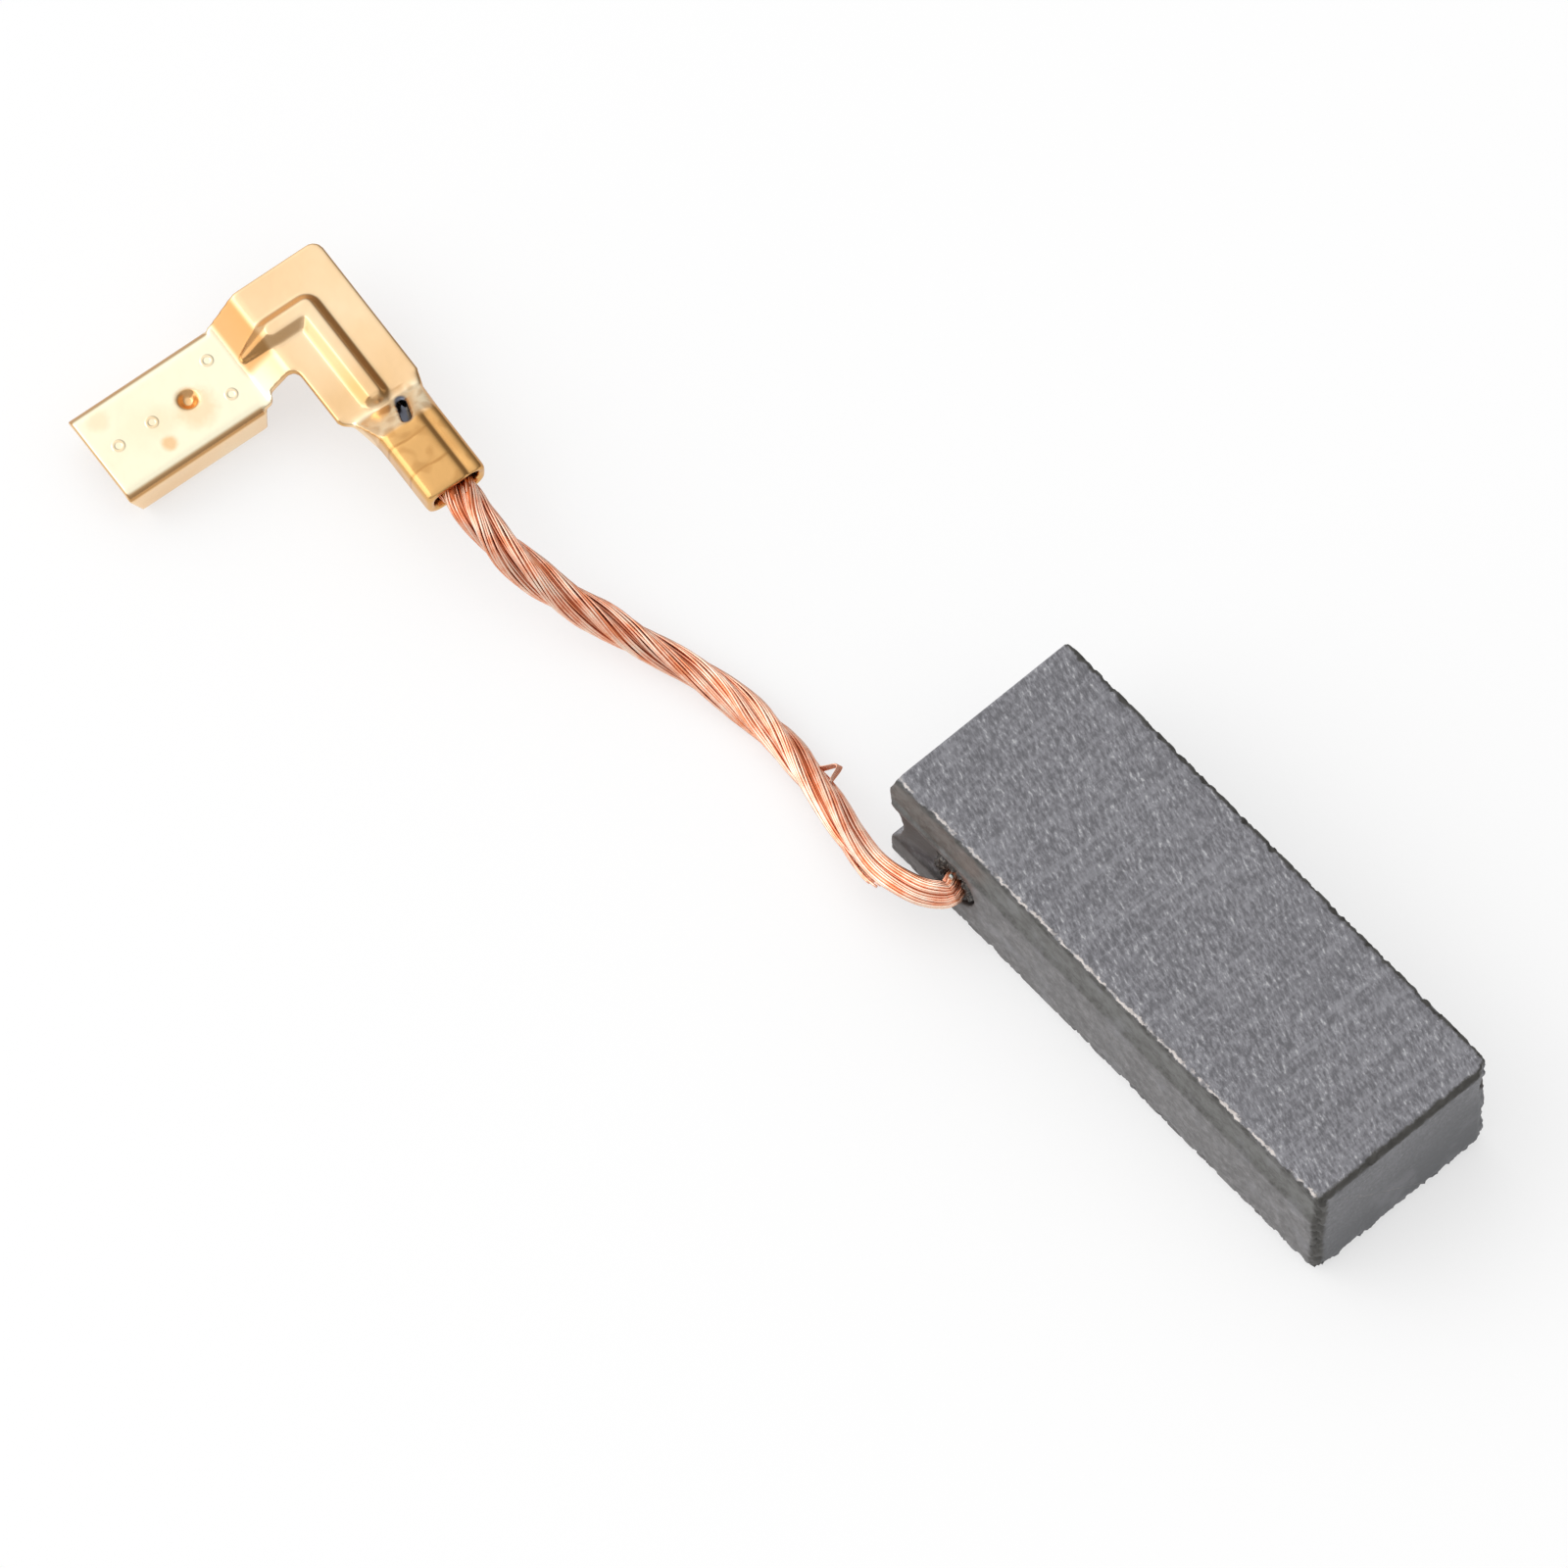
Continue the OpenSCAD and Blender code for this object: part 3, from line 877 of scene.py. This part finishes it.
        # the end's painted shade deepens towards the bottom, along a slant across the end
        slant = self.foot_slant * (place.y - self.foot_from)
        return {
            "across": max(-1.0, min(1.0, across)),
            "rim": min(1.0, end_rim, upright_rim, max(far, top), max(far, contact)),
            "wall": on_wall,
            "band": on_wall * above_line,
            "end": on_end,
            "foot": on_end * smoothstep(*self.foot_fade, place.z - slant),
            "dust_and_shade": self.dust_and_shade(place, gaps),
        }

    def dust_and_shade(self, place: Vector, gaps: dict[Face, float]) -> float:
        """Work out the share of dust and painted shade at a place.

        Args:
            place: the place, in millimetres.
            gaps: how deep it lies below each face.

        Returns:
            1 in the hole, as painted shade; less at the lost corner, which is only darker; round the
            hole, as dust; in the wire's channel, as painted shade that deepens towards its top; and
            otherwise 0.
        """
        near = gaps[Face.WIRE]
        from_axis = math.hypot(place.x - self.hole.x, place.z - self.hole.z)
        # painted shade inside the hole
        if from_axis < self.hole_r + self.hole_wall and self.hole_depth[0] < near < self.hole_depth[1]:
            return 1.0
        # darker at the knocked-off corner
        if (place - self.chipped).length < self.chip_r * (0.8 + 0.9 * noise.noise(place * 2.7)):
            return 0.9
        # dust round the hole, darker behind it towards the spring end
        if near < self.dust_depth and place.z < self.high.z - self.line_drop:
            ragged = from_axis + 0.5 * noise.noise(place * 2.1)
            dust = smoothstep(self.hole_r + self.dust_reach, self.hole_r, ragged)
            behind = 0.5 * smoothstep(self.hole.x + 1.0, self.hole.x - 0.6, place.x)
            if near < 0.05 or dust > 0.5:
                return max(0.85 * dust, behind)
        # painted shade in the wire's channel, deeper towards its top
        shallow, deep = self.channel_depth
        in_channel = shallow < near < deep and gaps[Face.BOTTOM] > self.channel_floor
        along_it = self.low.x + 0.5 < place.x < self.low.x + self.channel_l
        if not in_channel or not along_it or gaps[Face.TOP] < 1:
            return 0.0
        return 0.4 + 0.55 * smoothstep(self.hole.z - 1.3, self.hole.z - 0.2, place.z)

    def wear(self, shape: Shape) -> None:
        """Break the edges, let the spring end's crest stand out and knock off one corner.

        Args:
            shape: the block, which is changed.
        """
        for vert in shape.verts:
            place = vert.co / MM
            gaps = self.gaps(place)
            shift = sum((edge.shift(place, gaps) for edge in self.edges), Vector())
            if place.x < self.low.x + 1:
                rise = 1 - abs(place.z - self.crest_z) / self.crest_reach
                inner = smoothstep(1, 0, place.x - self.low.x)
                shift.x -= self.crest_out * smoothstep(0, 1, rise) * inner
            knock = 1 - (place - self.chipped).length / self.chip_r
            if knock > 0:
                rough = 1 + 1.2 * noise.noise(place * 2.3)
                shift += Vector(self.chip_shift) * smoothstep(0, 0.6, knock) * rough
            vert.co += shift * MM


class RopeMesh:
    """The rope's mesh while it grows, with the layers that its finish reads."""

    def __init__(self) -> None:
        """Start with an empty mesh."""
        self.shape = bmesh.new()
        # depth holds each point's painted shade, between the strands and on the rope's far side
        self.tone, self.depth = (self.shape.verts.layers.float.new(name) for name in ("tone", "depth"))


@dataclass
class Pigtail:
    """The copper rope: four bundles of fine strands laid round each other.

    Spread is how much of a bundle's round its strands cover, in degrees. The groove's two
    distances from the rope's middle are where a strand is still bright and where it lies in full
    painted shade, which stands in for the others' shade. The open lay is the share of the lay's
    turn that the rope has beside the block.
    """

    rope_d: float = 1.45
    bundles: int = 4
    bundle_at: float = 0.35
    bundle_r: float = 0.335
    strands: int = 11
    spread: float = 250.0
    strand_d: float = 0.115
    wire_sides: int = 6
    lay: float = 11.0
    open_lay: float = 0.25
    first_turn: float = 0.4
    groove: Range = (0.54, 0.36)
    far_shade: float = 0.4
    core_tone: float = -0.3
    core_shade: float = 0.6
    step: float = 0.18
    bends: int = 12
    barrel_mouth: float = -32.9
    block_exit: float = -8.6
    out_of_hole: float = -3.85
    clear_of_block: float = -4.9
    thin: float = 0.9
    swell: float = 0.16
    pinch: float = 0.22
    pressed_wider: float = 0.14
    pressed_lower: float = 0.42
    loop_x: Range = (-15.1, -18.4)
    loop_strands: int = 4
    loop_out: float = 0.6
    loop_bends: int = 4
    cut_x: Range = (-10.5, -15.2)
    cut_strands: int = 9
    cut_stagger: float = 0.09
    route: tuple[Point, ...] = (
        (-8.5, -0.85, 2.85), (-8.5, -2.4, 2.85), (-8.5, -3.7, 2.85), (-8.44, -4.3, 2.81),
        (-8.24, -4.8, 2.7), (-8.85, -5.4, 2.6), (-9.8, -5.75, 2.5), (-11.1, -5.9, 2.25),
        (-12.7, -5.65, 1.8), (-14.5, -5.2, 1.4), (-16.1, -4.9, 1.1), (-17.6, -4.7, 0.9),
        (-19, -4.7, 0.8), (-20.5, -4.8, 0.8), (-22.2, -5.15, 0.85), (-24, -5.75, 1.05),
        (-25.6, -6.35, 1.4), (-27.2, -6.95, 1.85), (-28.8, -7.4, 2.35), (-30.3, -7.7, 2.8),
        (-31.7, -7.75, 3.2), (-33.02, -7.58, 3.41), (-34.61, -7.41, 3.48), (-36.2, -7.24, 3.54),
    )

    def line(self) -> list[Vector]:
        """Lay a smooth curve through the route.

        Returns:
            Lay a rounded curve through the route.
        """
        points = [Vector(p) for p in self.route]
        points = [points[0] * 2 - points[1], *points, points[-1] * 2 - points[-2]]
        fine: list[Vector] = []
        for a, b, c, d in zip(points, points[1:], points[2:], points[3:]):
            for i in range(self.bends):
                t = i / self.bends
                second, third = 2 * a - 5 * b + 4 * c - d, 3 * b - a - 3 * c + d
                fine.append(0.5 * (2 * b + (c - a) * t + second * t**2 + third * t**3))
        fine.append(points[-2])
        even, spare = [fine[0]], 0.0
        for a, b in zip(fine, fine[1:]):
            length = (b - a).length
            while spare + length >= self.step:
                a = a + (b - a) * ((self.step - spare) / length)
                length = (b - a).length
                even.append(a.copy())
                spare = 0.0
            spare += length
        return even

    def frames(self, line: list[Vector]) -> Frames:
        """Set up directions along the line.

        Args:
            line: the centre line.

        Returns:
            Each step's place, its level side direction and its over direction.
        """
        result = []
        for i, place in enumerate(line):
            ahead = (line[min(i + 1, len(line) - 1)] - line[max(i - 1, 0)]).normalized()
            side = ahead.cross(Vector((0, 0, 1))).normalized()
            result.append((place, side, side.cross(ahead)))
        return result

    def turns(self, line: list[Vector]) -> list[float]:
        """Follow the lay along the line; it is nearly open beside the block.

        Args:
            line: the centre line.

        Returns:
            How far the lay has turned at each step.
        """
        angle, result = self.first_turn, []
        for place in line:
            result.append(angle)
            closed = smoothstep(self.block_exit - 1.5, self.block_exit - 6.5, place.x)
            tight = self.open_lay + (1 - self.open_lay) * closed
            tight *= 1 + 0.5 * noise.noise(Vector((place.x * 0.21, 5.5, 0)))
            angle -= math.tau * self.step / self.lay * tight
        return result

    def girth(self, place: Vector) -> Range:
        """Work out how the rope swells, and how the hole and the barrel squeeze it.

        Args:
            place: a place on the centre line.

        Returns:
            How much wider and how much higher the rope is there than it is drawn.
        """
        full = self.thin + self.swell * smoothstep(self.block_exit - 3, self.block_exit - 19, place.x)
        full *= 1 - self.pinch * smoothstep(-5.1, -4.3, place.y) * smoothstep(-10, -9, place.x)
        pressed = smoothstep(self.barrel_mouth + 1.6, self.barrel_mouth + 0.1, place.x)
        return full * (1 + self.pressed_wider * pressed), full * (1 - self.pressed_lower * pressed)

    def build(self, finish: bpy.types.Material, terminal: list[bpy.types.Object]) -> bpy.types.Object:
        """Args:
            finish: the copper.
            terminal: the pieces on the rope's far end; not used.

        Returns:
            The rope.
        """
        line = self.line()
        frames, turns = self.frames(line), self.turns(line)
        mesh = RopeMesh()
        core_d = 2 * self.bundle_r - 1.5 * self.strand_d
        for bundle in range(self.bundles):
            core = [self.offset(bundle, None, i, turns[i]) for i in range(len(line))]
            self.add_wire(mesh, frames, core, core_d, self.core_tone, self.core_shade)
            for strand in range(self.strands):
                path = [self.offset(bundle, strand, i, turns[i]) for i in range(len(line))]
                tone = 0.3 * noise.noise(Vector((bundle * 5.3, strand * 2.7, 0.5))) - 0.16
                self.add_wire(mesh, frames, path, self.strand_d, tone)
        self.add_loop(mesh, frames)
        self.add_cut_end(mesh, frames)
        bmesh.ops.scale(mesh.shape, vec=(MM, MM, MM), verts=mesh.shape.verts)
        piece = finish_piece("pigtail_rope", mesh.shape, finish)
        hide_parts("pigtail")
        return piece

    def offset(self, bundle: int, strand: int | None, i: int, turn: float) -> Vector:
        """Place one strand, or a bundle's middle, beside the centre line.

        Args:
            bundle: the bundle's number.
            strand: the strand's number in it, or None for its middle.
            i: the step along the line.
            turn: how far the lay has turned there.

        Returns:
            The way from the line, to the side and over.
        """
        along = i * self.step
        angle = turn + math.tau * bundle / self.bundles
        angle += 0.22 * noise.noise(Vector((bundle * 3.1, along * 0.16, 1.5)))
        away = self.bundle_at * (1 + 0.34 * noise.noise(Vector((bundle * 4.7, along * 0.3, 4.5))))
        middle = Vector((math.cos(angle), math.sin(angle))) * away
        if strand is None:
            return middle
        seed = Vector((bundle * 7.3, strand * 3.1, 0.5))
        own = angle + math.radians(self.spread) * ((strand + 0.5) / self.strands - 0.5)
        own += 0.2 * noise.noise(seed + Vector((0, 0, along * 0.3)))
        wave = 0.05 * noise.noise(seed * 1.7 + Vector((0, 0, along * 0.4)))
        lift = self.bundle_r - self.strand_d / 2 + wave + 0.02 * noise.noise(seed * 2.9)
        return middle + Vector((math.cos(own), math.sin(own))) * lift

    def add_wire(
        self,
        mesh: RopeMesh,
        frames: Frames,
        path: list[Vector],
        wire_d: float,
        tone: float,
        depth: float = 0.0,
    ) -> None:
        """Sweep one round wire beside the centre line.

        Args:
            mesh: the rope's mesh so far.
            frames: the centre line's places and directions, from the wire's start.
            path: the wire's offsets from it, step by step.
            wire_d: the wire's diameter.
            tone: how pale the wire is.
            depth: the least painted shade it carries, for lying in the others' shade.
        """
        shape, sides, rings = mesh.shape, self.wire_sides, []
        for (place, side, over), beside in zip(frames, path):
            wide, high = self.girth(place)
            middle = place + side * beside.x * wide + over * beside.y * high
            # painted shade: strands near the rope's middle and on its far side are darkened
            shade = max(depth, smoothstep(*self.groove, beside.length))
            shade = max(shade, self.far_shade * smoothstep(0.1, 0.65, beside.x))
            ring = []
            for corner in range(sides):
                angle = math.tau * corner / sides
                point = middle + (side * math.cos(angle) + over * math.sin(angle)) * (wire_d / 2)
                vert = shape.verts.new(point)
                vert[mesh.tone], vert[mesh.depth] = tone, shade
                ring.append(vert)
            rings.append(ring)
        for one, two in zip(rings, rings[1:]):
            for k in range(sides):
                after = (k + 1) % sides
                shape.faces.new((one[k], one[after], two[after], two[k]))
        shape.faces.new(rings[0][::-1])
        shape.faces.new(rings[-1])

    def steps_between(self, frames: Frames, span: Range) -> range:
        """Find the steps between two X values, clear of the block.

        Args:
            frames: the centre line's places and directions.
            span: the two values, the one nearer the block first.

        Returns:
            The steps.
        """
        start, end = span
        outside = [i for i, (place, _, _) in enumerate(frames) if place.y < self.clear_of_block]
        inside = [i for i in outside if end < frames[i][0].x < start]
        return range(inside[0], inside[-1] + 1)

    def add_loop(self, mesh: RopeMesh, frames: Frames) -> None:
        """Let a few strands stand away from the rope in a small loop, on the side of the block.

        Args:
            mesh: the rope's mesh so far.
            frames: the centre line's places and directions.
        """
        steps = self.steps_between(frames, self.loop_x)
        fine = []
        for one, two in zip(frames[steps[0]:steps[-1]], frames[steps[0] + 1:steps[-1] + 1]):
            for k in range(self.loop_bends):
                fine.append(tuple(a.lerp(b, k / self.loop_bends) for a, b in zip(one, two)))
        for strand in range(self.loop_strands):
            path = []
            for k in range(len(fine)):
                bow = math.sin(math.pi * (k / (len(fine) - 1))) ** 2
                side = 0.45 + (self.loop_out + 0.06 * strand) * bow
                path.append(Vector((side, 0.34 - 0.1 * strand + 0.12 * bow)))
            self.add_wire(mesh, fine, path, self.strand_d * 0.9, -0.1 - 0.1 * strand)

    def add_cut_end(self, mesh: RopeMesh, frames: Frames) -> None:
        """Lay a short cut bundle along the rope's outer side, with its tip near the block.

        Args:
            mesh: the rope's mesh so far.
            frames: the centre line's places and directions.
        """
        start, end = self.cut_x
        for strand in range(self.cut_strands):
            stagger = self.cut_stagger * ((strand * 4) % self.cut_strands)
            steps = self.steps_between(frames, (start - stagger, end))
            around = math.radians(200 + 9 * strand)
            beside = Vector((math.cos(around), math.sin(around) + 0.15))
            path = []
            for k in range(len(steps)):
                share = smoothstep(0.0, 0.75, k / (len(steps) - 1))
                sway = 0.05 * noise.noise(Vector((strand * 3.3, k * 0.12, 2.5)))
                path.append(beside * (0.78 - 0.3 * share + 0.045 * (strand % 3) + sway))
            self.add_wire(mesh, frames[steps[0]:], path, self.strand_d, -0.25 + 0.08 * (strand % 4))


@dataclass
class FlagTerminal:
    """The stamped brass flag with its crimp barrel.

    Its own directions are across, towards the rope; along, from the mouth to the leg; and up. Places
    are counted from the middle of the tab socket's mouth. Each fade runs from where its tint is
    not seen to where it is seen in full, and each stain has a radius and a strength.
    """

    voxel_mm: float = 0.06
    turn: float = -6
    droop: float = 2.5
    lift: float = 2.5
    smoothing: int = 3
    crimp_smoothing: int = 22
    plate_up: float = 0.6
    plate_l: float = 6.3
    neck: float = 4.475
    barrel_low: float = 1.5
    valley: float = 10.52
    tool_lines: Range = (6.875, 8.195)
    slot: tuple[Range, Range] = ((5.1, 10.43), (6.1, 10.03))
    slot_fade: Range = (0.3, 0.16)
    arm_fade: Range = (6.4, 8.2)
    leg_fade: Range = (2.0, 4.0)
    barrel_fade: Range = (6.0, 6.6)
    neck_end: Range = (6.5, 6.0)
    steep_fade: Range = (0.9, 0.4)
    step_up: Range = (6.4, 6.8)
    step_down: Range = (7.9, 7.6)
    step_side: Range = (0.9, 0.3)
    ring_r: float = 0.2
    ring_line: Range = (0.09, 0.02)
    rings: tuple[Range, ...] = ((-0.02, 0.94), (-0.07, 2.53), (-0.93, 5.7), (0.75, 5.65))
    stains: tuple[tuple[float, float, float, float], ...] = (
        (-0.05, 4.2, 0.5, 0.95), (0.45, 4.25, 0.9, 0.4), (1.03, 2.58, 0.34, 0.75),
        (-1.3, 0.9, 0.5, 0.25), (0.1, 2.9, 0.7, 0.15),
    )

    def directions(self) -> Matrix:
        """Work out the terminal's own directions.

        Returns:
            The turn that takes them to the frame's.
        """
        return (
            Matrix.Rotation(math.radians(self.turn), 4, "Z")
            @ Matrix.Rotation(math.radians(self.droop), 4, "Y")
            @ Matrix.Rotation(math.radians(self.lift), 4, "X")
        )

    def placed(self, across: float, along: float, up: float) -> Vector:
        """Return where a place given in the terminal's own directions is, in metres."""
        return mount_place("tab_socket") + self.directions() @ mm(across, along, up)

    def build(self, finish: bpy.types.Material) -> bpy.types.Object:
        """Build and dress the terminal.

        Args:
            finish: the brass.

        Returns:
            The piece.
        """
        shape = remeshed(merged_copy("flag_terminal"), self.voxel_mm, self.directions())
        back, start = self.directions().inverted(), mount_place("tab_socket")
        crimp = [vert for vert in shape.verts if (back @ (vert.co - start)).x > (self.neck - 0.1) * MM]
        for verts, passes in ((shape.verts[:], self.smoothing), (crimp, self.crimp_smoothing)):
            for _ in range(passes):
                bmesh.ops.smooth_vert(
                    shape, verts=verts, factor=0.5, use_axis_x=True, use_axis_y=True, use_axis_z=True
                )
        self.mark(shape)
        piece = finish_piece("terminal", shape, finish)
        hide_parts("flag_terminal")
        return piece

    def mark(self, shape: Shape) -> None:
        """Note on every point its warmth with painted light and shade, its painted brown shade and
        barrel marks, and the painted shade of the slot.

        Args:
            shape: the terminal, which gains the layers.
        """
        age, brown, slot_shade = (shape.verts.layers.float.new(name) for name in ("age", "brown", "slot_shade"))
        back, start = self.directions().inverted(), mount_place("tab_socket")
        shape.normal_update()
        for vert in shape.verts:
            place = back @ (vert.co - start) / MM
            facing = back.to_3x3() @ vert.normal
            vert[age] = self.warmth(place, facing)
            vert[brown] = max(self.painted_brown_shade(place, facing), self.crimped(place))
            vert[slot_shade] = self.in_slot(place)

    def warmth(self, place: Vector, facing: Vector) -> float:
        """Work out how warm the brass is: warmer on the arm, the leg and the barrel, warmer still on
        steep walls as painted shade, and paler on the neck as painted light.

        Args:
            place: where, in the terminal's own directions.
            facing: which way the surface faces there.

        Returns:
            The warmth, from 0.
        """
        age = 0.38 * smoothstep(*self.arm_fade, place.y) + 0.12 * smoothstep(*self.leg_fade, place.x)
        age += 0.55 * smoothstep(*self.barrel_fade, place.x)
        # painted shade: steep faces turn warmer and darker
        age += 0.4 * smoothstep(*self.steep_fade, facing.z)
        # painted light: the neck is made paler, standing in for a bright reflection
        in_neck = smoothstep(self.neck, self.neck + 0.4, place.x) * smoothstep(*self.neck_end, place.x)
        return age * (1 - 0.6 * in_neck)

    def painted_brown_shade(self, place: Vector, facing: Vector) -> float:
        """Work out the painted brown shade on the sheet: on the step, along the folds and on faces
        turned to the far side, away from the light.

        Args:
            place: where, in the terminal's own directions.
            facing: which way the surface faces there.

        Returns:
            The share of painted brown shade.
        """
        # painted shade on the step, which mirrors darker surroundings
        on_step = smoothstep(*self.step_up, place.y) * smoothstep(*self.step_down, place.y)
        on_step *= smoothstep(*self.step_side, place.x) * smoothstep(0.2, 0.5, facing.z)
        # painted shade in the bends of the folds
        fold = smoothstep(0.97, 0.8, facing.z) * smoothstep(0.1, 0.4, facing.z)
        if place.y >= self.plate_l:
            fold *= 0.35 * smoothstep(self.neck + 0.3, self.neck - 0.3, place.x)
        # painted shade on faces turned towards the room's darker far side
        turned_away = smoothstep(0.15, 0.6, facing.y) * smoothstep(-0.2, 0.2, facing.z)
        return max(0.9 * on_step, 0.85 * fold, 0.85 * turned_away)

    def in_slot(self, place: Vector) -> float:
        """Tell how far a place on the neck lies in the slot that the wings leave open, which is painted
        on the sheet as dark shade.

        Args:
            place: where, in the terminal's own directions.

        Returns:
            The share of the slot's painted shade.
        """
        start, end = (Vector(point) for point in self.slot)
        run = end - start
        share = max(0.0, min(1.0, (place.xy - start).dot(run) / run.length_squared))
        return smoothstep(*self.slot_fade, (place.xy - start - run * share).length)

    def crimped(self, place: Vector) -> float:
        """Tell how brown the barrel is: painted shade in its valley, its blotches and the lines the tool
        has left.

        Args:
            place: where, in the terminal's own directions.

        Returns:
            The share of brown, which is 0 off the barrel's top.
        """
        across, along, up = place
        if across < self.neck or up < self.barrel_low:
            return 0.0
        wander = 0.12 * noise.noise(Vector((across * 1.3, along * 1.3, 4.5)))
        lines = max(smoothstep(0.09, 0.02, abs(across + wander - line)) for line in self.tool_lines)
        on_wing = smoothstep(self.valley + 0.1, self.valley - 0.15, along)
        # painted shade in the valley where the far wing dips
        valley = smoothstep(0.55, 0.05, abs(along + wander * 2 - self.valley))
        patch = 0.5 + 0.9 * noise.noise(Vector((across * 1.1, along * 1.1, 7.5)))
        blotch = smoothstep(0.0, 0.4, noise.noise(Vector((across * 1.9, along * 1.9, up * 1.9 + 2.5))))
        return max(0.8 * lines * on_wing, 0.75 * valley * patch, 0.45 * blotch)


@dataclass
class Tamping:
    """What holds the rope in its hole: the rammed plug, a crumbly collar and a small bright bead."""

    collar_out: float = 0.84
    collar_r: float = 0.3
    collar_y: float = -4.1
    collar_sides: int = 12
    collar_steps: int = 60
    crumbs: float = 0.8
    crumbs_per_mm: float = 4.5
    bead_at: Point = (-8.42, -4.56, 3.46)
    bead_size: Point = (0.1, 0.1, 0.19)
    bead_rough: float = 0.25

    def build(self, powder: bpy.types.Material, metal: bpy.types.Material) -> None:
        """Dress the plug and add the collar and the bead.

        Args:
            powder: the rammed powder.
            metal: the bead's metal.
        """
        plug = frame["nodes"]["tamping_plug"]
        plug.data.materials.clear()
        plug.data.materials.append(powder)
        self.collar(powder)
        self.bead(metal)

    def collar(self, powder: bpy.types.Material) -> None:
        """Heap a ring of loose powder round the rope at the hole's mouth.

        Args:
            powder: the rammed powder.
        """
        low, high = (Vector(corner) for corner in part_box("tamping_plug"))
        middle = (low + high) / 2
        shape = bmesh.new()
        upright = Matrix.Rotation(math.pi / 2, 4, "X")
        start = Matrix.Translation((self.collar_out * MM, 0, 0)) @ upright
        radius = self.collar_r * MM
        bmesh.ops.create_circle(shape, segments=self.collar_sides, radius=radius, matrix=start)
        bmesh.ops.spin(
            shape,
            geom=shape.edges[:],
            cent=(0, 0, 0),
            axis=(0, 0, 1),
            angle=math.tau,
            steps=self.collar_steps,
            use_merge=True,
        )
        bmesh.ops.recalc_face_normals(shape, faces=shape.faces)
        for vert in shape.verts:
            out = vert.co - vert.co.xy.normalized().to_3d() * self.collar_out * MM
            vert.co += out * self.crumbs * noise.fractal(vert.co / MM * self.crumbs_per_mm, 0.8, 2.0, 3)
        place = Matrix.Translation((middle.x, self.collar_y * MM, middle.z)) @ upright
        bmesh.ops.transform(shape, matrix=place, verts=shape.verts)
        finish_piece("tamping_collar", shape, powder)

    def bead(self, metal: bpy.types.Material) -> None:
        """Set the bright bead on the rope where it enters the block.

        Args:
            metal: the bead's metal.
        """
        shape = bmesh.new()
        bmesh.ops.create_icosphere(shape, subdivisions=3, radius=MM)
        for vert in shape.verts:
            vert.co *= 1 + self.bead_rough * noise.noise(vert.co / MM * 1.8)
        bmesh.ops.scale(shape, vec=self.bead_size, verts=shape.verts)
        bmesh.ops.translate(shape, vec=mm(*self.bead_at), verts=shape.verts)
        finish_piece("metal_bead", shape, metal)


def main() -> None:
    """Build the brush, piece by piece."""
    logging.basicConfig(level=logging.INFO, format="%(name)s: %(message)s")
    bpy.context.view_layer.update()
    Studio().build()
    flag = FlagTerminal()
    terminal = flag.build(BrightBrass().make(flag))
    LOG.info("terminal: %d faces", len(terminal.data.polygons))
    rope = Pigtail().build(BareCopper().make(), [terminal])
    LOG.info("pigtail: %d faces", len(rope.data.polygons))
    block = CarbonBlock().build(PressedCarbon().make())
    LOG.info("block: %d faces", len(block.data.polygons))
    Tamping().build(RammedPowder().make(), SolderBead().make())
    LOG.info("tamping: plug, collar and bead")


if __name__ == "__main__":
    main()
